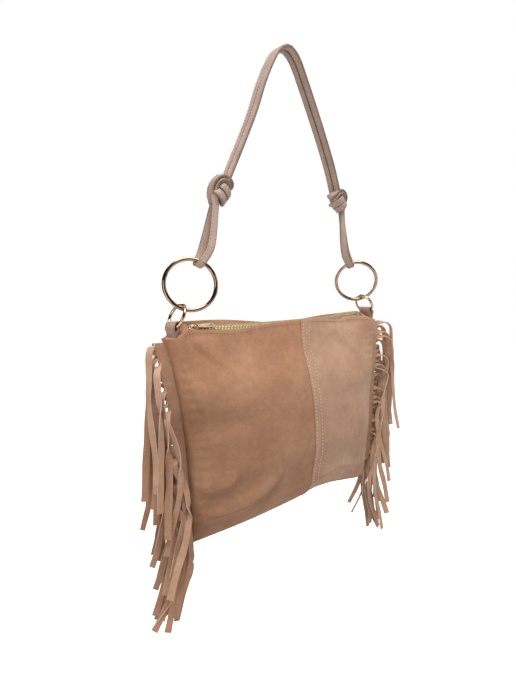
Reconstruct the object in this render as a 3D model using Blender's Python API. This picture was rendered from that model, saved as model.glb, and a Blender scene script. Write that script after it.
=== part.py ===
"""Fringed suede shoulder bag, hanging from its knotted handle.

Metres, +Z up. The origin is the underside of the handle at its highest point, where it
hangs. +X runs along the bag, to the right as seen from the front, and -Y is the front.
"""

import math
import random

import bmesh
import bpy
from mathutils import Matrix, Vector

# Clearance between pieces that touch, and how far joined solids run into each other
FIT = 0.0003
OVERLAP = 0.0002

# Bag body
BAG_MID_X = -0.0057
TOP_HALF_LENGTH = 0.1745
BOTTOM_HALF_LENGTH = 0.1545
SHOULDER_Z = -0.334
BOTTOM_Z = -0.576
SUEDE_THICKNESS = 0.0015
SEAM_X = 0.0215
SEAM_SETTLE_LENGTH = 0.06
BULGE_DEPTH = 0.034
CREASE_DEPTH = 0.024
CREASE_HEIGHT = 0.026
CORNER_HALF_DEPTH = 0.0142
CORNER_RISE_LENGTH = 0.006
END_SQUARENESS = 26.0
BELLY_SQUARENESS = 2.4
# Shares of the height: where the bag is fullest, where the mouth's shape ends, where the square
# ends have grown round, and where the hem starts
FULLEST_AT = 0.66
MOUTH_ENDS_AT = 0.30
ROUND_AT = 0.45
HEM_AT = 0.985
HEM_TURN = 0.7

# Top corners, from the end of the zip to the side seam
CORNER_LENGTH = 0.0285
CORNER_START = 0.001
CORNER_RUNOUT = 0.006
CORNER_DROP = 0.0010
CORNER_FRONT_EASE = 1.3 * SUEDE_THICKNESS + FIT
CORNER_BACK_LAP = 0.5 * SUEDE_THICKNESS
CORNER_END_EASE = 2.2 * SUEDE_THICKNESS
SLOT_REACH = 0.004
TAB_FROM_END = 0.01133

# Zip, worked in its own sloping plane
ZIP_HALF_LENGTH = TOP_HALF_LENGTH - CORNER_LENGTH
ZIP_SLOPE = math.radians(45.0)
ZIP_Y = -0.0010
ZIP_Z = -0.3252
MOUTH_FRONT_Y = 0.0073
MOUTH_FRONT_Z = -0.3275
MOUTH_BACK_Y = 0.0053
MOUTH_BACK_Z = -0.3185
TAPE_HALF_WIDTH = 0.0060
TAPE_THICKNESS = 0.0008
TOOTH_ROW_WIDTH = 0.0022
TOOTH_ROW_HEIGHT = 0.0018
ROW_GAP = 0.0014
STOP_LENGTH = 0.0025
SLIDER_LENGTH = 0.011
SLIDER_WIDTH = 0.0078
SLIDER_PLATE = 0.0010
SLIDER_REST_GAP = 0.0020
SLIDER_REST_X = SLIDER_LENGTH / 2 + SLIDER_REST_GAP - ZIP_HALF_LENGTH
LOOP_HEIGHT = 0.0034
LOOP_BAR = 0.0009
LOOP_SETBACK = 0.0015
LOOP_ROUNDING = 1.3 * LOOP_BAR
PULL_LENGTH = 0.028
PULL_WIDTH = 0.006
PULL_THICKNESS = 0.0012
PULL_EYE_LENGTH = 0.0060
PULL_EYE_WIDTH = 0.0024
PULL_CHAMFER = 0.0012

# Rings
BIG_RING_WIRE = 0.0045
BIG_RING_INNER = 0.0525
SMALL_RING_WIRE = 0.0035
SMALL_RING_INNER = 0.025
BIG_RING_Z = -0.2772
BIG_RING_LEAN = math.radians(29.0)
SMALL_RING_LEAN = math.radians(27.0)
LEFT_RING_SWIVEL = math.radians(26.0)
RIGHT_RING_SWIVEL = math.radians(48.0)

# Tabs that hold the small rings
TAB_WIDTH = 0.020
TAB_LEATHER = 0.0020
TAB_DEPTH_INSIDE = 0.008
TAB_EASE = 0.0005
TAB_NECK_DROP = 0.0012

# Handle strap, one long loop of two strands
STRAP_WIDTH = 0.0095
STRAP_THICKNESS = 0.0040
STRAP_ROUNDING = 0.0012
SEAT_LENGTH = 0.010
SEAT_EASE = 0.0015
KNOT_IN_LEFT = 0.0299
KNOT_UP_LEFT = 0.0783
KNOT_LEAN_LEFT = math.radians(29.4)
KNOT_IN_RIGHT = 0.0250
KNOT_UP_RIGHT = 0.0843
KNOT_LEAN_RIGHT = math.radians(26.8)
KNOT_LENGTH_LEFT = 0.036
KNOT_LENGTH_RIGHT = 0.031
KNOT_RADIUS = 0.0090
KNOT_WRAP_WIDTH = 0.0115
KNOT_WRAP_THICKNESS = 0.0050
# A knot's core: shares of its length from the middle, with shares of its radius there
KNOT_CORE = ((-0.46, 0.45), (-0.34, 0.85), (0.0, 1.0), (0.34, 0.85), (0.46, 0.45))
# The turns of strap round it: place along its length, tilt in degrees, share of the radius
KNOT_TURNS = ((-0.24, 34.0, 1.00), (0.20, 30.0, 1.04), (0.02, -38.0, 0.90))
STRAP_IN_KNOT = 0.8 * STRAP_WIDTH
# The hang of the strap between a knot and the top, as shares of the way out and down to the knot
HANG_LEFT = ((0.611, 0.555), (0.402, 0.265), (0.196, 0.054))
HANG_RIGHT = ((0.190, 0.055), (0.379, 0.242), (0.642, 0.527), (0.874, 0.804))
LEG_SPREAD = 0.0052
LEG_SPREAD_IN_KNOT = 0.6 * LEG_SPREAD
LEG_EASE = 0.0012
LEG_STRAIGHT_SHARE = 0.35
LEG_SIDE_LAY = 0.25
LEG_TURN_SHARE = 0.7

# Fringe
BAND_WIDTH = 0.015
BAND_TOP_Z = -0.337
BAND_BOTTOM_Z = -0.5595
STRAND_PITCH = 0.0072
STRAND_WIDTH = 0.0060
STRAND_THICKNESS = 0.0013
STRAND_LENGTH = 0.168
STRAND_REACH_LEFT = 0.017
STRAND_REACH_RIGHT = 0.026
STRAND_REACH_LOWEST = 0.005
STRAND_BEND = 0.013
STRAND_BEND_SHARE = 0.7
STRAND_LENGTH_SPREAD = (0.94, 1.05)
STRAND_TURN_SPREAD = (68.0, 112.0)
LANE_PITCH = 0.0041
LANES = (-2, 1, -1, -3, 0, 3, 2)
STRAND_FAN = 0.7
STRAND_FLARE_TOP = 0.001
STRAND_FLARE_LOW = 0.020
# The lowest strands end this share of a strand's length below the band
LOWEST_TIP_LEFT = 0.527
LOWEST_TIP_RIGHT = 0.640


# Small tools

def clear_scene():
    for item in list(bpy.data.objects):
        bpy.data.objects.remove(item, do_unlink=True)


def finish_material(name, colour, roughness, metallic=0.0):
    material = bpy.data.materials.get(name)
    if material is None:
        material = bpy.data.materials.new(name)
        material.use_nodes = True
        shader = material.node_tree.nodes["Principled BSDF"]
        shader.inputs["Base Color"].default_value = (*colour, 1.0)
        shader.inputs["Roughness"].default_value = roughness
        shader.inputs["Metallic"].default_value = metallic
    return material


def suede():
    return finish_material("suede", (0.38, 0.22, 0.14), 0.95)


def strap_leather():
    return finish_material("strap_leather", (0.34, 0.23, 0.18), 0.5)


def pale_gold():
    return finish_material("pale_gold", (0.83, 0.66, 0.42), 0.18, 1.0)


def zip_cloth():
    return finish_material("zip_cloth", (0.55, 0.45, 0.26), 0.7)


def make_object(name, points, faces, material, smooth_angle=40.0):
    mesh = bpy.data.meshes.new(name)
    mesh.from_pydata([tuple(p) for p in points], [], faces)
    mesh.validate()
    shape = bmesh.new()
    shape.from_mesh(mesh)
    bmesh.ops.recalc_face_normals(shape, faces=shape.faces)
    shape.to_mesh(mesh)
    shape.free()
    mesh.shade_smooth()
    mesh.set_sharp_from_angle(angle=math.radians(smooth_angle))
    mesh.materials.append(material)
    item = bpy.data.objects.new(name, mesh)
    bpy.context.scene.collection.objects.link(item)
    return item


def use_solid(item, tool, operation, solver="EXACT"):
    """Adds or cuts a guide solid, which stays in the scene hidden from renders."""
    tool.hide_render = True
    tool.display_type = "WIRE"
    step = item.modifiers.new(tool.name, "BOOLEAN")
    step.operation = operation
    step.solver = solver
    step.object = tool


def box(name, low, high, material):
    spots = ((x, y, z) for x in (low[0], high[0]) for y in (low[1], high[1]) for z in (low[2], high[2]))
    points = [Vector(spot) for spot in spots]
    faces = [(0, 1, 3, 2), (4, 6, 7, 5), (0, 4, 5, 1), (2, 3, 7, 6), (0, 2, 6, 4), (1, 5, 7, 3)]
    return make_object(name, points, faces, material)


def smooth_step(value):
    value = min(max(value, 0.0), 1.0)
    return value * value * (3.0 - 2.0 * value)


def mix(a, b, share):
    return a + (b - a) * share


def through(points, steps):
    """A smooth line through hand-placed points, with the same number of steps between each pair."""
    ends = [points[0] * 2 - points[1], *points, points[-1] * 2 - points[-2]]
    line = []
    for i in range(1, len(ends) - 2):
        a, b, c, d = ends[i - 1:i + 3]
        for step in range(steps):
            t = step / steps
            line.append(0.5 * (2 * b + (c - a) * t + (2 * a - 5 * b + 4 * c - d) * t * t
                               + (3 * b - a - 3 * c + d) * t * t * t))
    line.append(points[-1])
    return line


def strap_section(width, thickness):
    """Points across a strap: flat faces with its long edges rounded off."""
    cut = min(STRAP_ROUNDING, thickness * 0.3)
    w, t = width / 2, thickness / 2
    return [(-w, -t + cut), (-w + cut, -t), (w - cut, -t), (w, -t + cut),
            (w, t - cut), (w - cut, t), (-w + cut, t), (-w, t - cut)]


def sweep(name, line, widths, section, material, closed=False):
    """Carries a section along a line. widths gives the direction of its width at each point."""
    count = len(line)
    points = []
    for i, centre in enumerate(line):
        before = line[i - 1] if i or closed else line[0]
        after = line[(i + 1) % count] if i + 1 < count or closed else line[-1]
        along = (after - before).normalized()
        across = (widths[i] - along * widths[i].dot(along)).normalized()
        normal = along.cross(across)
        points += [centre + across * a + normal * b for a, b in section]
    size = len(section)
    faces = []
    for i in range(count if closed else count - 1):
        j = (i + 1) % count
        for k in range(size):
            m = (k + 1) % size
            faces.append((i * size + k, i * size + m, j * size + m, j * size + k))
    if not closed:
        faces.append(tuple(range(size)))
        faces.append(tuple(range((count - 1) * size, count * size)))
    return make_object(name, points, faces, material)


def ring(name, centre, normal, radius, wire, segments, material):
    """A round wire ring, built about its own axis and turned to its place."""
    shape = bmesh.new()
    sides = 8
    rows = []
    for i in range(segments):
        turn = Matrix.Rotation(2 * math.pi * i / segments, 3, "Z")
        rows.append([])
        for k in range(sides):
            angle = 2 * math.pi * k / sides
            spot = Vector((radius + wire / 2 * math.cos(angle), 0, wire / 2 * math.sin(angle)))
            rows[-1].append(shape.verts.new(turn @ spot))
    for i in range(segments):
        for k in range(sides):
            a, b = rows[i], rows[(i + 1) % segments]
            m = (k + 1) % sides
            shape.faces.new((a[k], b[k], b[m], a[m]))
    bmesh.ops.recalc_face_normals(shape, faces=shape.faces)
    mesh = bpy.data.meshes.new(name)
    shape.to_mesh(mesh)
    shape.free()
    mesh.shade_smooth()
    mesh.materials.append(material)
    item = bpy.data.objects.new(name, mesh)
    bpy.context.scene.collection.objects.link(item)
    item.location = centre
    item.rotation_mode = "QUATERNION"
    item.rotation_quaternion = Vector((0, 0, 1)).rotation_difference(normal)
    return item


# Where the rings hang: worked out down the load line from the handle to the tab

def big_radius():
    return (BIG_RING_INNER + BIG_RING_WIRE) / 2


def small_radius():
    return (SMALL_RING_INNER + SMALL_RING_WIRE) / 2


def lean_direction(side, lean):
    """Up the load line. side is -1 on the left and +1 on the right."""
    return Vector((-side * math.sin(lean), 0, math.cos(lean)))


def ring_link():
    """From the centre of a big ring to where the small ring bears on its wire."""
    return big_radius() - (BIG_RING_WIRE + SMALL_RING_WIRE) / 2 - FIT


def big_ring_centre(side):
    """Up the load line from the tab, across the small ring."""
    out = TOP_HALF_LENGTH - TAB_FROM_END - 2 * small_radius() * math.sin(SMALL_RING_LEAN)
    out -= ring_link() * math.sin(BIG_RING_LEAN)
    return Vector((BAG_MID_X + side * out, 0, BIG_RING_Z))


def big_ring_normal(side):
    swivel = LEFT_RING_SWIVEL if side < 0 else RIGHT_RING_SWIVEL
    across = Vector((math.cos(BIG_RING_LEAN), 0, side * math.sin(BIG_RING_LEAN)))
    return (Vector((0, 1, 0)) * math.cos(swivel) + across * math.sin(swivel)).normalized()


def small_ring_centre(side):
    link = big_ring_centre(side) - lean_direction(side, BIG_RING_LEAN) * ring_link()
    return link - lean_direction(side, SMALL_RING_LEAN) * small_radius()


def small_ring_normal(side):
    return Vector((math.cos(SMALL_RING_LEAN), 0, side * math.sin(SMALL_RING_LEAN)))


# Bag body: every panel reads its shape from these functions

def half_length(z):
    share = (z - SHOULDER_Z) / (BOTTOM_Z - SHOULDER_Z)
    return mix(TOP_HALF_LENGTH, BOTTOM_HALF_LENGTH, share)


def shoulder_share(x):
    """0 along the zip, 1 out on the shoulders. x is measured from the bag's middle."""
    start = ZIP_HALF_LENGTH + CORNER_START
    return smooth_step((abs(x) - start) / (TOP_HALF_LENGTH - CORNER_RUNOUT - start))


def top_edge_z(x, front):
    mouth = MOUTH_FRONT_Z if front else MOUTH_BACK_Z
    return mix(mouth, SHOULDER_Z, shoulder_share(x))


def belly_depth(v):
    """Half depth at mid length, from the top edge (v = 0) to the bottom seam (v = 1)."""
    height = SHOULDER_Z - BOTTOM_Z
    crease = 1.0 - CREASE_HEIGHT / height
    if v > crease:
        return CREASE_DEPTH * ((1.0 - v) / (1.0 - crease)) ** 0.7
    rise = math.sin(math.pi / 2 * min(v / FULLEST_AT, 1.0)) ** 1.1
    fall = smooth_step((v - FULLEST_AT) / (crease - FULLEST_AT))
    return mix(BULGE_DEPTH * rise, CREASE_DEPTH, fall)


def panel_depth(x, v, front):
    """How far a panel's outer face stands from the middle plane of the bag."""
    z = mix(top_edge_z(x, front), BOTTOM_Z, v)
    u = min(abs(x) / half_length(z), 1.0)
    mouth = MOUTH_FRONT_Y if front else MOUTH_BACK_Y
    corner_rise = smooth_step((abs(x) - ZIP_HALF_LENGTH + CORNER_START) / CORNER_RISE_LENGTH)
    top = mix(mouth, CORNER_HALF_DEPTH, corner_rise)
    settle = smooth_step(v / MOUTH_ENDS_AT)
    depth = mix(top, max(belly_depth(v), 0.0), settle)
    squareness = mix(END_SQUARENESS, BELLY_SQUARENESS, smooth_step(v / ROUND_AT))
    seam = STRAND_THICKNESS / 2 + FIT if v < HEM_AT else FIT / 2
    return seam + (depth - seam) * math.sqrt(max(1.0 - u ** squareness, 0.0))


def end_columns():
    """Shares of the half length where a panel needs points: round its end and beside the zip."""
    rise_end = (ZIP_HALF_LENGTH - CORNER_START + CORNER_RISE_LENGTH) / TOP_HALF_LENGTH
    rise_start = (ZIP_HALF_LENGTH - CORNER_START) / TOP_HALF_LENGTH
    return [1.0, 0.996, 0.985, 0.96, 0.925, mix(0.925, rise_end, 0.55), rise_end, rise_start]


def panel_columns(left_end, right_end, middle_steps):
    """Positions across a panel from left to right, as shares of the half length or as the seam."""
    ends = end_columns()
    left = [-share for share in ends] if left_end else []
    right = ends[::-1] if right_end else []
    low = left[-1] if left_end else SEAM_X / TOP_HALF_LENGTH
    high = right[0] if right_end else SEAM_X / TOP_HALF_LENGTH
    middle = [mix(low, high, i / middle_steps) for i in range(middle_steps + 1)]
    return left[:-1] + middle + right[1:]


def panel(name, front, left_end, right_end, middle_steps, rows):
    """A thin curved panel. An end reaches the side seam; without one it stops at the front seam."""
    side = -1.0 if front else 1.0
    shares = panel_columns(left_end, right_end, middle_steps)
    columns = len(shares) - 1
    grid = []
    for j in range(rows + 1):
        v = (j / rows) ** 0.9
        line = []
        for i, share in enumerate(shares):
            z = mix(top_edge_z(share * TOP_HALF_LENGTH, front), BOTTOM_Z, v)
            shrink = half_length(mix(SHOULDER_Z, BOTTOM_Z, v)) / TOP_HALF_LENGTH
            from_seam = abs(share * TOP_HALF_LENGTH - SEAM_X)
            seam_pull = SEAM_X * (1.0 - shrink) * max(1.0 - from_seam / SEAM_SETTLE_LENGTH, 0.0)
            x = share * TOP_HALF_LENGTH * shrink + seam_pull
            if i == 0 and not left_end:
                x += FIT / 2
            if i == columns and not right_end:
                x -= FIT / 2
            if abs(share) == 1.0:
                x = math.copysign(half_length(z), share)
            line.append(Vector((BAG_MID_X + x, side * panel_depth(x, v, front), z)))
        grid.append(line)
    inner = []
    for j in range(rows + 1):
        inner.append([])
        for i in range(columns + 1):
            along = grid[j][min(i + 1, columns)] - grid[j][max(i - 1, 0)]
            down = grid[min(j + 1, rows)][i] - grid[max(j - 1, 0)][i]
            out = along.cross(down).normalized()
            if out.y * side < 0:
                out = -out
            if i == 0 and left_end:
                out = Vector((-1, 0, 0))
            if i == columns and right_end:
                out = Vector((1, 0, 0))
            if (i == 0 and not left_end) or (i == columns and not right_end):
                out = Vector((0, out.y, out.z)).normalized()
            if j == rows:
                out = Vector((out.x * HEM_TURN, 0, -1)).normalized()
            if j == 0:
                out = Vector((out.x, out.y, 0)).normalized()
            inner[-1].append(grid[j][i] - out * SUEDE_THICKNESS)
    wide = columns + 1
    outside = [p for line in grid for p in line]
    points = outside + [p for line in inner for p in line]
    shift = len(outside)
    faces = []
    for j in range(rows):
        for i in range(columns):
            a, b = j * wide + i, j * wide + i + 1
            c, d = b + wide, a + wide
            faces.append((a, b, c, d))
            faces.append((a + shift, d + shift, c + shift, b + shift))
    rim = [(0, i) for i in range(wide)] + [(j, columns) for j in range(1, rows + 1)]
    rim += [(rows, i) for i in range(columns - 1, -1, -1)] + [(j, 0) for j in range(rows - 1, 0, -1)]
    for n, (j, i) in enumerate(rim):
        jj, ii = rim[(n + 1) % len(rim)]
        a, b = j * wide + i, jj * wide + ii
        faces.append((a, b, b + shift, a + shift))
    return make_object(name, points, faces, suede(), 60.0)


def shoulder(side, back):
    """The turned-over corner that closes the bag beside the zip, with a slot for the tab."""
    start = ZIP_HALF_LENGTH + CORNER_RISE_LENGTH
    end = TOP_HALF_LENGTH - CORNER_END_EASE
    steps = 5
    points = []
    for i in range(steps + 1):
        x = mix(start, end, i / steps)
        z = top_edge_z(x, True) - CORNER_DROP
        front = panel_depth(x + SUEDE_THICKNESS, 0.0, True) - CORNER_FRONT_EASE
        rear = panel_depth(x, 0.0, False) - CORNER_BACK_LAP
        for y in (-front, rear):
            for drop in (0.0, SUEDE_THICKNESS):
                points.append(Vector((BAG_MID_X + side * x, y, z - drop)))
    faces = [(0, 1, 3, 2)]
    for i in range(steps):
        a, b = i * 4, i * 4 + 4
        faces += [(a, a + 2, b + 2, b), (a + 1, b + 1, b + 3, a + 3)]
        faces += [(a, b, b + 1, a + 1), (a + 2, a + 3, b + 3, b + 2)]
    last = steps * 4
    faces.append((last, last + 2, last + 3, last + 1))
    name = "shoulder_guide_left" if side < 0 else "shoulder_guide_right"
    plate = make_object(name, points, faces, suede())
    use_solid(back, plate, "UNION")
    centre = small_ring_centre(side) - lean_direction(side, SMALL_RING_LEAN) * small_radius()
    half = TAB_LEATHER + FIT
    slot = box(name.replace("shoulder", "slot"),
               (centre.x - half, -TAB_WIDTH / 2 - FIT, SHOULDER_Z - SLOT_REACH),
               (centre.x + half, TAB_WIDTH / 2 + FIT, MOUTH_FRONT_Z + SLOT_REACH), suede())
    use_solid(back, slot, "DIFFERENCE")


def bag_body():
    panel("front_panel_left", True, True, False, 8, 14)
    panel("front_panel_right", True, False, True, 6, 14)
    back = panel("back_panel", False, True, True, 12, 14)
    for side in (-1, 1):
        shoulder(side, back)


# Tabs

def tab(name, side):
    """A strip folded over the small ring: a leaning loop above, its two layers together below."""
    up = lean_direction(side, SMALL_RING_LEAN)
    out = Vector((up.z, 0, -up.x))
    low_wire = small_ring_centre(side) - up * small_radius()
    half = TAB_WIDTH / 2
    inner_edge = SMALL_RING_INNER / 2
    climb = small_radius() - math.sqrt(inner_edge ** 2 - half ** 2) - SMALL_RING_WIRE / 2
    bore = SMALL_RING_WIRE / 2 + TAB_EASE
    outer = bore + TAB_LEATHER
    arc = 8
    top = low_wire + up * climb
    outline, hole = [], []
    for i in range(arc + 1):
        angle = math.pi * i / arc
        ray = out * math.cos(angle) + up * math.sin(angle)
        outline.append(top + ray * outer)
        hole.append(top + ray * bore)
    for i in range(arc + 1):
        angle = math.pi * (1 + i / arc)
        hole.append(low_wire + (out * math.cos(angle) + up * math.sin(angle)) * bore)
    leg = TAB_LEATHER
    neck = low_wire.z - outer - TAB_NECK_DROP
    foot = SHOULDER_Z - TAB_DEPTH_INSIDE
    outline.append(low_wire - out * outer)
    for x, z in ((-leg, neck), (-leg, foot), (leg, foot), (leg, neck)):
        outline.append(Vector((low_wire.x + x, 0, z)))
    outline.append(low_wire + out * outer)
    body = extrude_across(name, [(p.x, p.z) for p in outline], -half, half, strap_leather())
    cutter = extrude_across(name + "_hole_guide", [(p.x, p.z) for p in hole], -half - 0.001, half + 0.001,
                            strap_leather())
    use_solid(body, cutter, "DIFFERENCE")


def extrude_across(name, outline, low, high, material):
    """An outline in X and Z, carried straight across from low to high in Y."""
    count = len(outline)
    points = [Vector((x, y, z)) for y in (low, high) for x, z in outline]
    faces = [tuple(range(count)), tuple(range(2 * count - 1, count - 1, -1))]
    for i in range(count):
        j = (i + 1) % count
        faces.append((i, i + count, j + count, j))
    return make_object(name, points, faces, material)


# Zip

def zip_place(x=0.0):
    """The zip's own frame: X along the bag, Y across the tapes, Z out of the teeth."""
    return Matrix.Translation((BAG_MID_X + x, ZIP_Y, ZIP_Z)) @ Matrix.Rotation(ZIP_SLOPE, 4, "X")


def zip_tape(name, side):
    """side is -1 for the front tape and +1 for the back one."""
    inner = ROW_GAP / 2
    row = inner + TOOTH_ROW_WIDTH
    outline = [(inner, -TOOTH_ROW_HEIGHT / 2), (row, -TOOTH_ROW_HEIGHT / 2), (row, -TAPE_THICKNESS / 2),
               (TAPE_HALF_WIDTH, -TAPE_THICKNESS / 2), (TAPE_HALF_WIDTH, TAPE_THICKNESS / 2),
               (row, TAPE_THICKNESS / 2), (row, TOOTH_ROW_HEIGHT / 2), (inner, TOOTH_ROW_HEIGHT / 2)]
    count = len(outline)
    points = [Vector((x, side * y, z)) for x in (-ZIP_HALF_LENGTH, ZIP_HALF_LENGTH) for y, z in outline]
    faces = [tuple(range(count)), tuple(range(count, 2 * count))]
    for i in range(count):
        j = (i + 1) % count
        faces.append((i, j, j + count, i + count))
    item = make_object(name, points, faces, zip_cloth())
    item.matrix_world = zip_place()


def zip_stop(name, side):
    near = ZIP_HALF_LENGTH + FIT
    low, high = sorted((side * near, side * (near + STOP_LENGTH - FIT)))
    width = ROW_GAP / 2 + TOOTH_ROW_WIDTH
    item = box(name, (low, -width, -TOOTH_ROW_HEIGHT / 2), (high, width, TOOTH_ROW_HEIGHT / 2), pale_gold())
    item.matrix_world = zip_place()


def zip_slider():
    """Two plates joined between the tooth rows, with a loop on top that holds the pull."""
    inner = TOOTH_ROW_HEIGHT / 2 + FIT
    outer = inner + SLIDER_PLATE
    half, wide = SLIDER_LENGTH / 2, SLIDER_WIDTH / 2
    web = ROW_GAP / 2 - FIT
    body = box("zip_slider", (-half, -web, OVERLAP - outer), (half, web, outer - OVERLAP), pale_gold())
    for part, low, high in (("top", inner, outer), ("bottom", -outer, -inner)):
        plate = box("slider_guide_" + part, (-half - OVERLAP, -wide, low), (half + OVERLAP, wide, high),
                    pale_gold())
        plate.matrix_world = zip_place(SLIDER_REST_X)
        use_solid(body, plate, "UNION")
    reach = half - LOOP_SETBACK
    top = outer + LOOP_HEIGHT
    low = outer - 2 * OVERLAP
    half_loop = [(reach, low), (reach, top - LOOP_ROUNDING), (reach - LOOP_ROUNDING, top)]
    line = [Vector((-x, 0, z)) for x, z in half_loop] + [Vector((x, 0, z)) for x, z in half_loop[::-1]]
    wide, thin = LOOP_BAR, LOOP_BAR / 2
    square = [(-wide, -thin), (wide, -thin), (wide, thin), (-wide, thin)]
    loop = sweep("slider_guide_loop", line, [Vector((0, 1, 0))] * len(line), square, pale_gold())
    loop.matrix_world = zip_place(SLIDER_REST_X)
    use_solid(body, loop, "UNION")
    body.matrix_world = zip_place(SLIDER_REST_X)


def pull_axis_height():
    return TOOTH_ROW_HEIGHT / 2 + FIT + SLIDER_PLATE + PULL_THICKNESS / 2 + FIT


def zip_pull():
    """A flat pull whose eye hangs on the slider's loop. Its origin is on its hinge."""
    thick = PULL_THICKNESS / 2
    wide = PULL_WIDTH / 2
    bar = PULL_THICKNESS / 2
    start, end, cut = -bar, PULL_LENGTH, PULL_CHAMFER
    outline = [(start, -wide + cut), (start + cut, -wide), (end - cut, -wide), (end, -wide + cut),
               (end, wide - cut), (end - cut, wide), (start + cut, wide), (start, wide - cut)]
    count = len(outline)
    points = [Vector((x, y, z)) for z in (-thick, thick) for x, y in outline]
    faces = [tuple(range(count)), tuple(range(count, 2 * count))]
    for i in range(count):
        j = (i + 1) % count
        faces.append((i, j, j + count, i + count))
    pull = make_object("zip_pull", points, faces, pale_gold())
    eye = PULL_EYE_WIDTH / 2
    past = PULL_THICKNESS
    hole = box("pull_guide_eye", (bar, -eye, -past), (PULL_EYE_LENGTH, eye, past), pale_gold())
    use_solid(pull, hole, "DIFFERENCE")
    place = zip_place(SLIDER_REST_X) @ Matrix.Translation((0, 0, pull_axis_height()))
    pull.matrix_world = place
    hole.matrix_world = place


# Handle

def wire_point(side):
    """Where the strap passes under the big ring's wire."""
    return big_ring_centre(side) + lean_direction(side, BIG_RING_LEAN) * big_radius()


def knot_ends(side):
    """Top and bottom of each knot. The handle was tied by hand, so the two sides differ."""
    if side < 0:
        aside, above, lean, length = KNOT_IN_LEFT, KNOT_UP_LEFT, KNOT_LEAN_LEFT, KNOT_LENGTH_LEFT
    else:
        aside, above, lean, length = KNOT_IN_RIGHT, KNOT_UP_RIGHT, KNOT_LEAN_RIGHT, KNOT_LENGTH_RIGHT
    middle = wire_point(side) + Vector((-side * aside, 0, above))
    along = -lean_direction(side, lean)
    return middle - along * length / 2, middle + along * length / 2


def over_route():
    """Middle line of the two strands from the left knot over the top to the right knot."""
    centre = STRAP_THICKNESS / 2
    left, right = knot_ends(-1)[0], knot_ends(1)[0]
    rise = [left - lean_direction(-1, KNOT_LEAN_LEFT) * STRAP_IN_KNOT, left]
    rise += [Vector((left.x * out, 0, left.z * down)) for out, down in HANG_LEFT]
    fall = [Vector((right.x * out, 0, right.z * down)) for out, down in HANG_RIGHT]
    fall += [right, right - lean_direction(1, KNOT_LEAN_RIGHT) * STRAP_IN_KNOT]
    flat = [Vector((side * (SEAT_LENGTH / 2 + ease), 0, centre))
            for side, ease in ((-1, SEAT_EASE), (-1, 0.0), (1, 0.0), (1, SEAT_EASE))]
    return through([*rise, flat[0]], 3) + flat[1:3] + through([flat[3], *fall], 3)


def over_strand(name, side):
    """One of the two strands over the top. side is -1 for the front one."""
    line = over_route()
    shift = side * (STRAP_WIDTH / 2 + FIT / 2)
    line = [p + Vector((0, shift, 0)) for p in line]
    widths = [Vector((0, 1, 0))] * len(line)
    return sweep(name, line, widths, strap_section(STRAP_WIDTH, STRAP_THICKNESS), strap_leather())


def leg_loop(name, side):
    """The strap's end loop: out of the knot, under the big ring's wire and back up."""
    up = lean_direction(side, BIG_RING_LEAN)
    through_ring = big_ring_normal(side)
    tangent = through_ring.cross(up).normalized()
    wire = wire_point(side)
    hug = BIG_RING_WIRE / 2 + FIT + STRAP_THICKNESS / 2
    bottom = knot_ends(side)[1]
    inside = bottom + (knot_ends(side)[0] - bottom) * LEG_STRAIGHT_SHARE
    bend = []
    for step in range(9):
        angle = math.pi * step / 8
        bend.append(wire + (through_ring * -math.cos(angle) - up * math.sin(angle)) * hug)
    rise = (bottom - wire).length
    apart = Vector((0, LEG_SPREAD, 0))
    buried = Vector((0, LEG_SPREAD_IN_KNOT, 0))
    over_wire = wire + up * rise * LEG_STRAIGHT_SHARE
    beside = through_ring * (hug + LEG_EASE)
    first = [inside - buried, bottom - apart, over_wire - beside]
    second = [over_wire + beside, bottom + apart, inside + buried]
    line = through([*first, bend[0], *bend[2:7:2], bend[8], *second], 3)
    widths = []
    for point in line:
        share = smooth_step((point - wire).dot(up) / rise)
        lay = Vector((side * LEG_SIDE_LAY, 0, 0)) + up.cross(Vector((0, 1, 0)))
        if lay.dot(tangent) < 0:
            lay = -lay
        widths.append(tangent.lerp(lay.normalized(), share * LEG_TURN_SHARE).normalized())
    return sweep(name, line, widths, strap_section(STRAP_WIDTH, STRAP_THICKNESS), strap_leather())


def knot(body, name, side):
    """A simple overhand knot drawn tight: a core inside three turns of the doubled strap."""
    top, bottom = knot_ends(side)
    along = (bottom - top).normalized()
    middle = (top + bottom) / 2
    length = (bottom - top).length
    across = along.cross(Vector((0, 1, 0))).normalized()
    points = []
    sides = 10
    for place, share in KNOT_CORE:
        centre = middle + along * length * place
        for k in range(sides):
            angle = 2 * math.pi * (k + 0.5) / sides
            offset = across * math.cos(angle) + Vector((0, 1, 0)) * math.sin(angle)
            points.append(centre + offset * KNOT_RADIUS * share)
    last = len(KNOT_CORE) - 1
    faces = [tuple(range(sides)), tuple(range(last * sides, (last + 1) * sides))]
    for i in range(last):
        for k in range(sides):
            m = (k + 1) % sides
            faces.append((i * sides + k, i * sides + m, (i + 1) * sides + m, (i + 1) * sides + k))
    core = make_object(name + "_guide_core", points, faces, strap_leather())
    use_solid(body, core, "UNION", "MANIFOLD")
    for number, (place, tilt, size) in enumerate(KNOT_TURNS):
        turn_normal = Matrix.Rotation(math.radians(-side * tilt), 3, Vector((0, 1, 0))) @ along
        first = turn_normal.cross(Vector((0, 1, 0))).normalized()
        centre = middle + along * length * place
        line = []
        widths = []
        for k in range(16):
            angle = 2 * math.pi * k / 16
            out = first * math.cos(angle) + Vector((0, 1, 0)) * math.sin(angle)
            line.append(centre + out * KNOT_RADIUS * size)
            widths.append(turn_normal)
        section = strap_section(KNOT_WRAP_WIDTH, KNOT_WRAP_THICKNESS)
        wrap = sweep(f"{name}_guide_turn_{number}", line, widths, section, strap_leather(), closed=True)
        use_solid(body, wrap, "UNION", "MANIFOLD")


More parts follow.
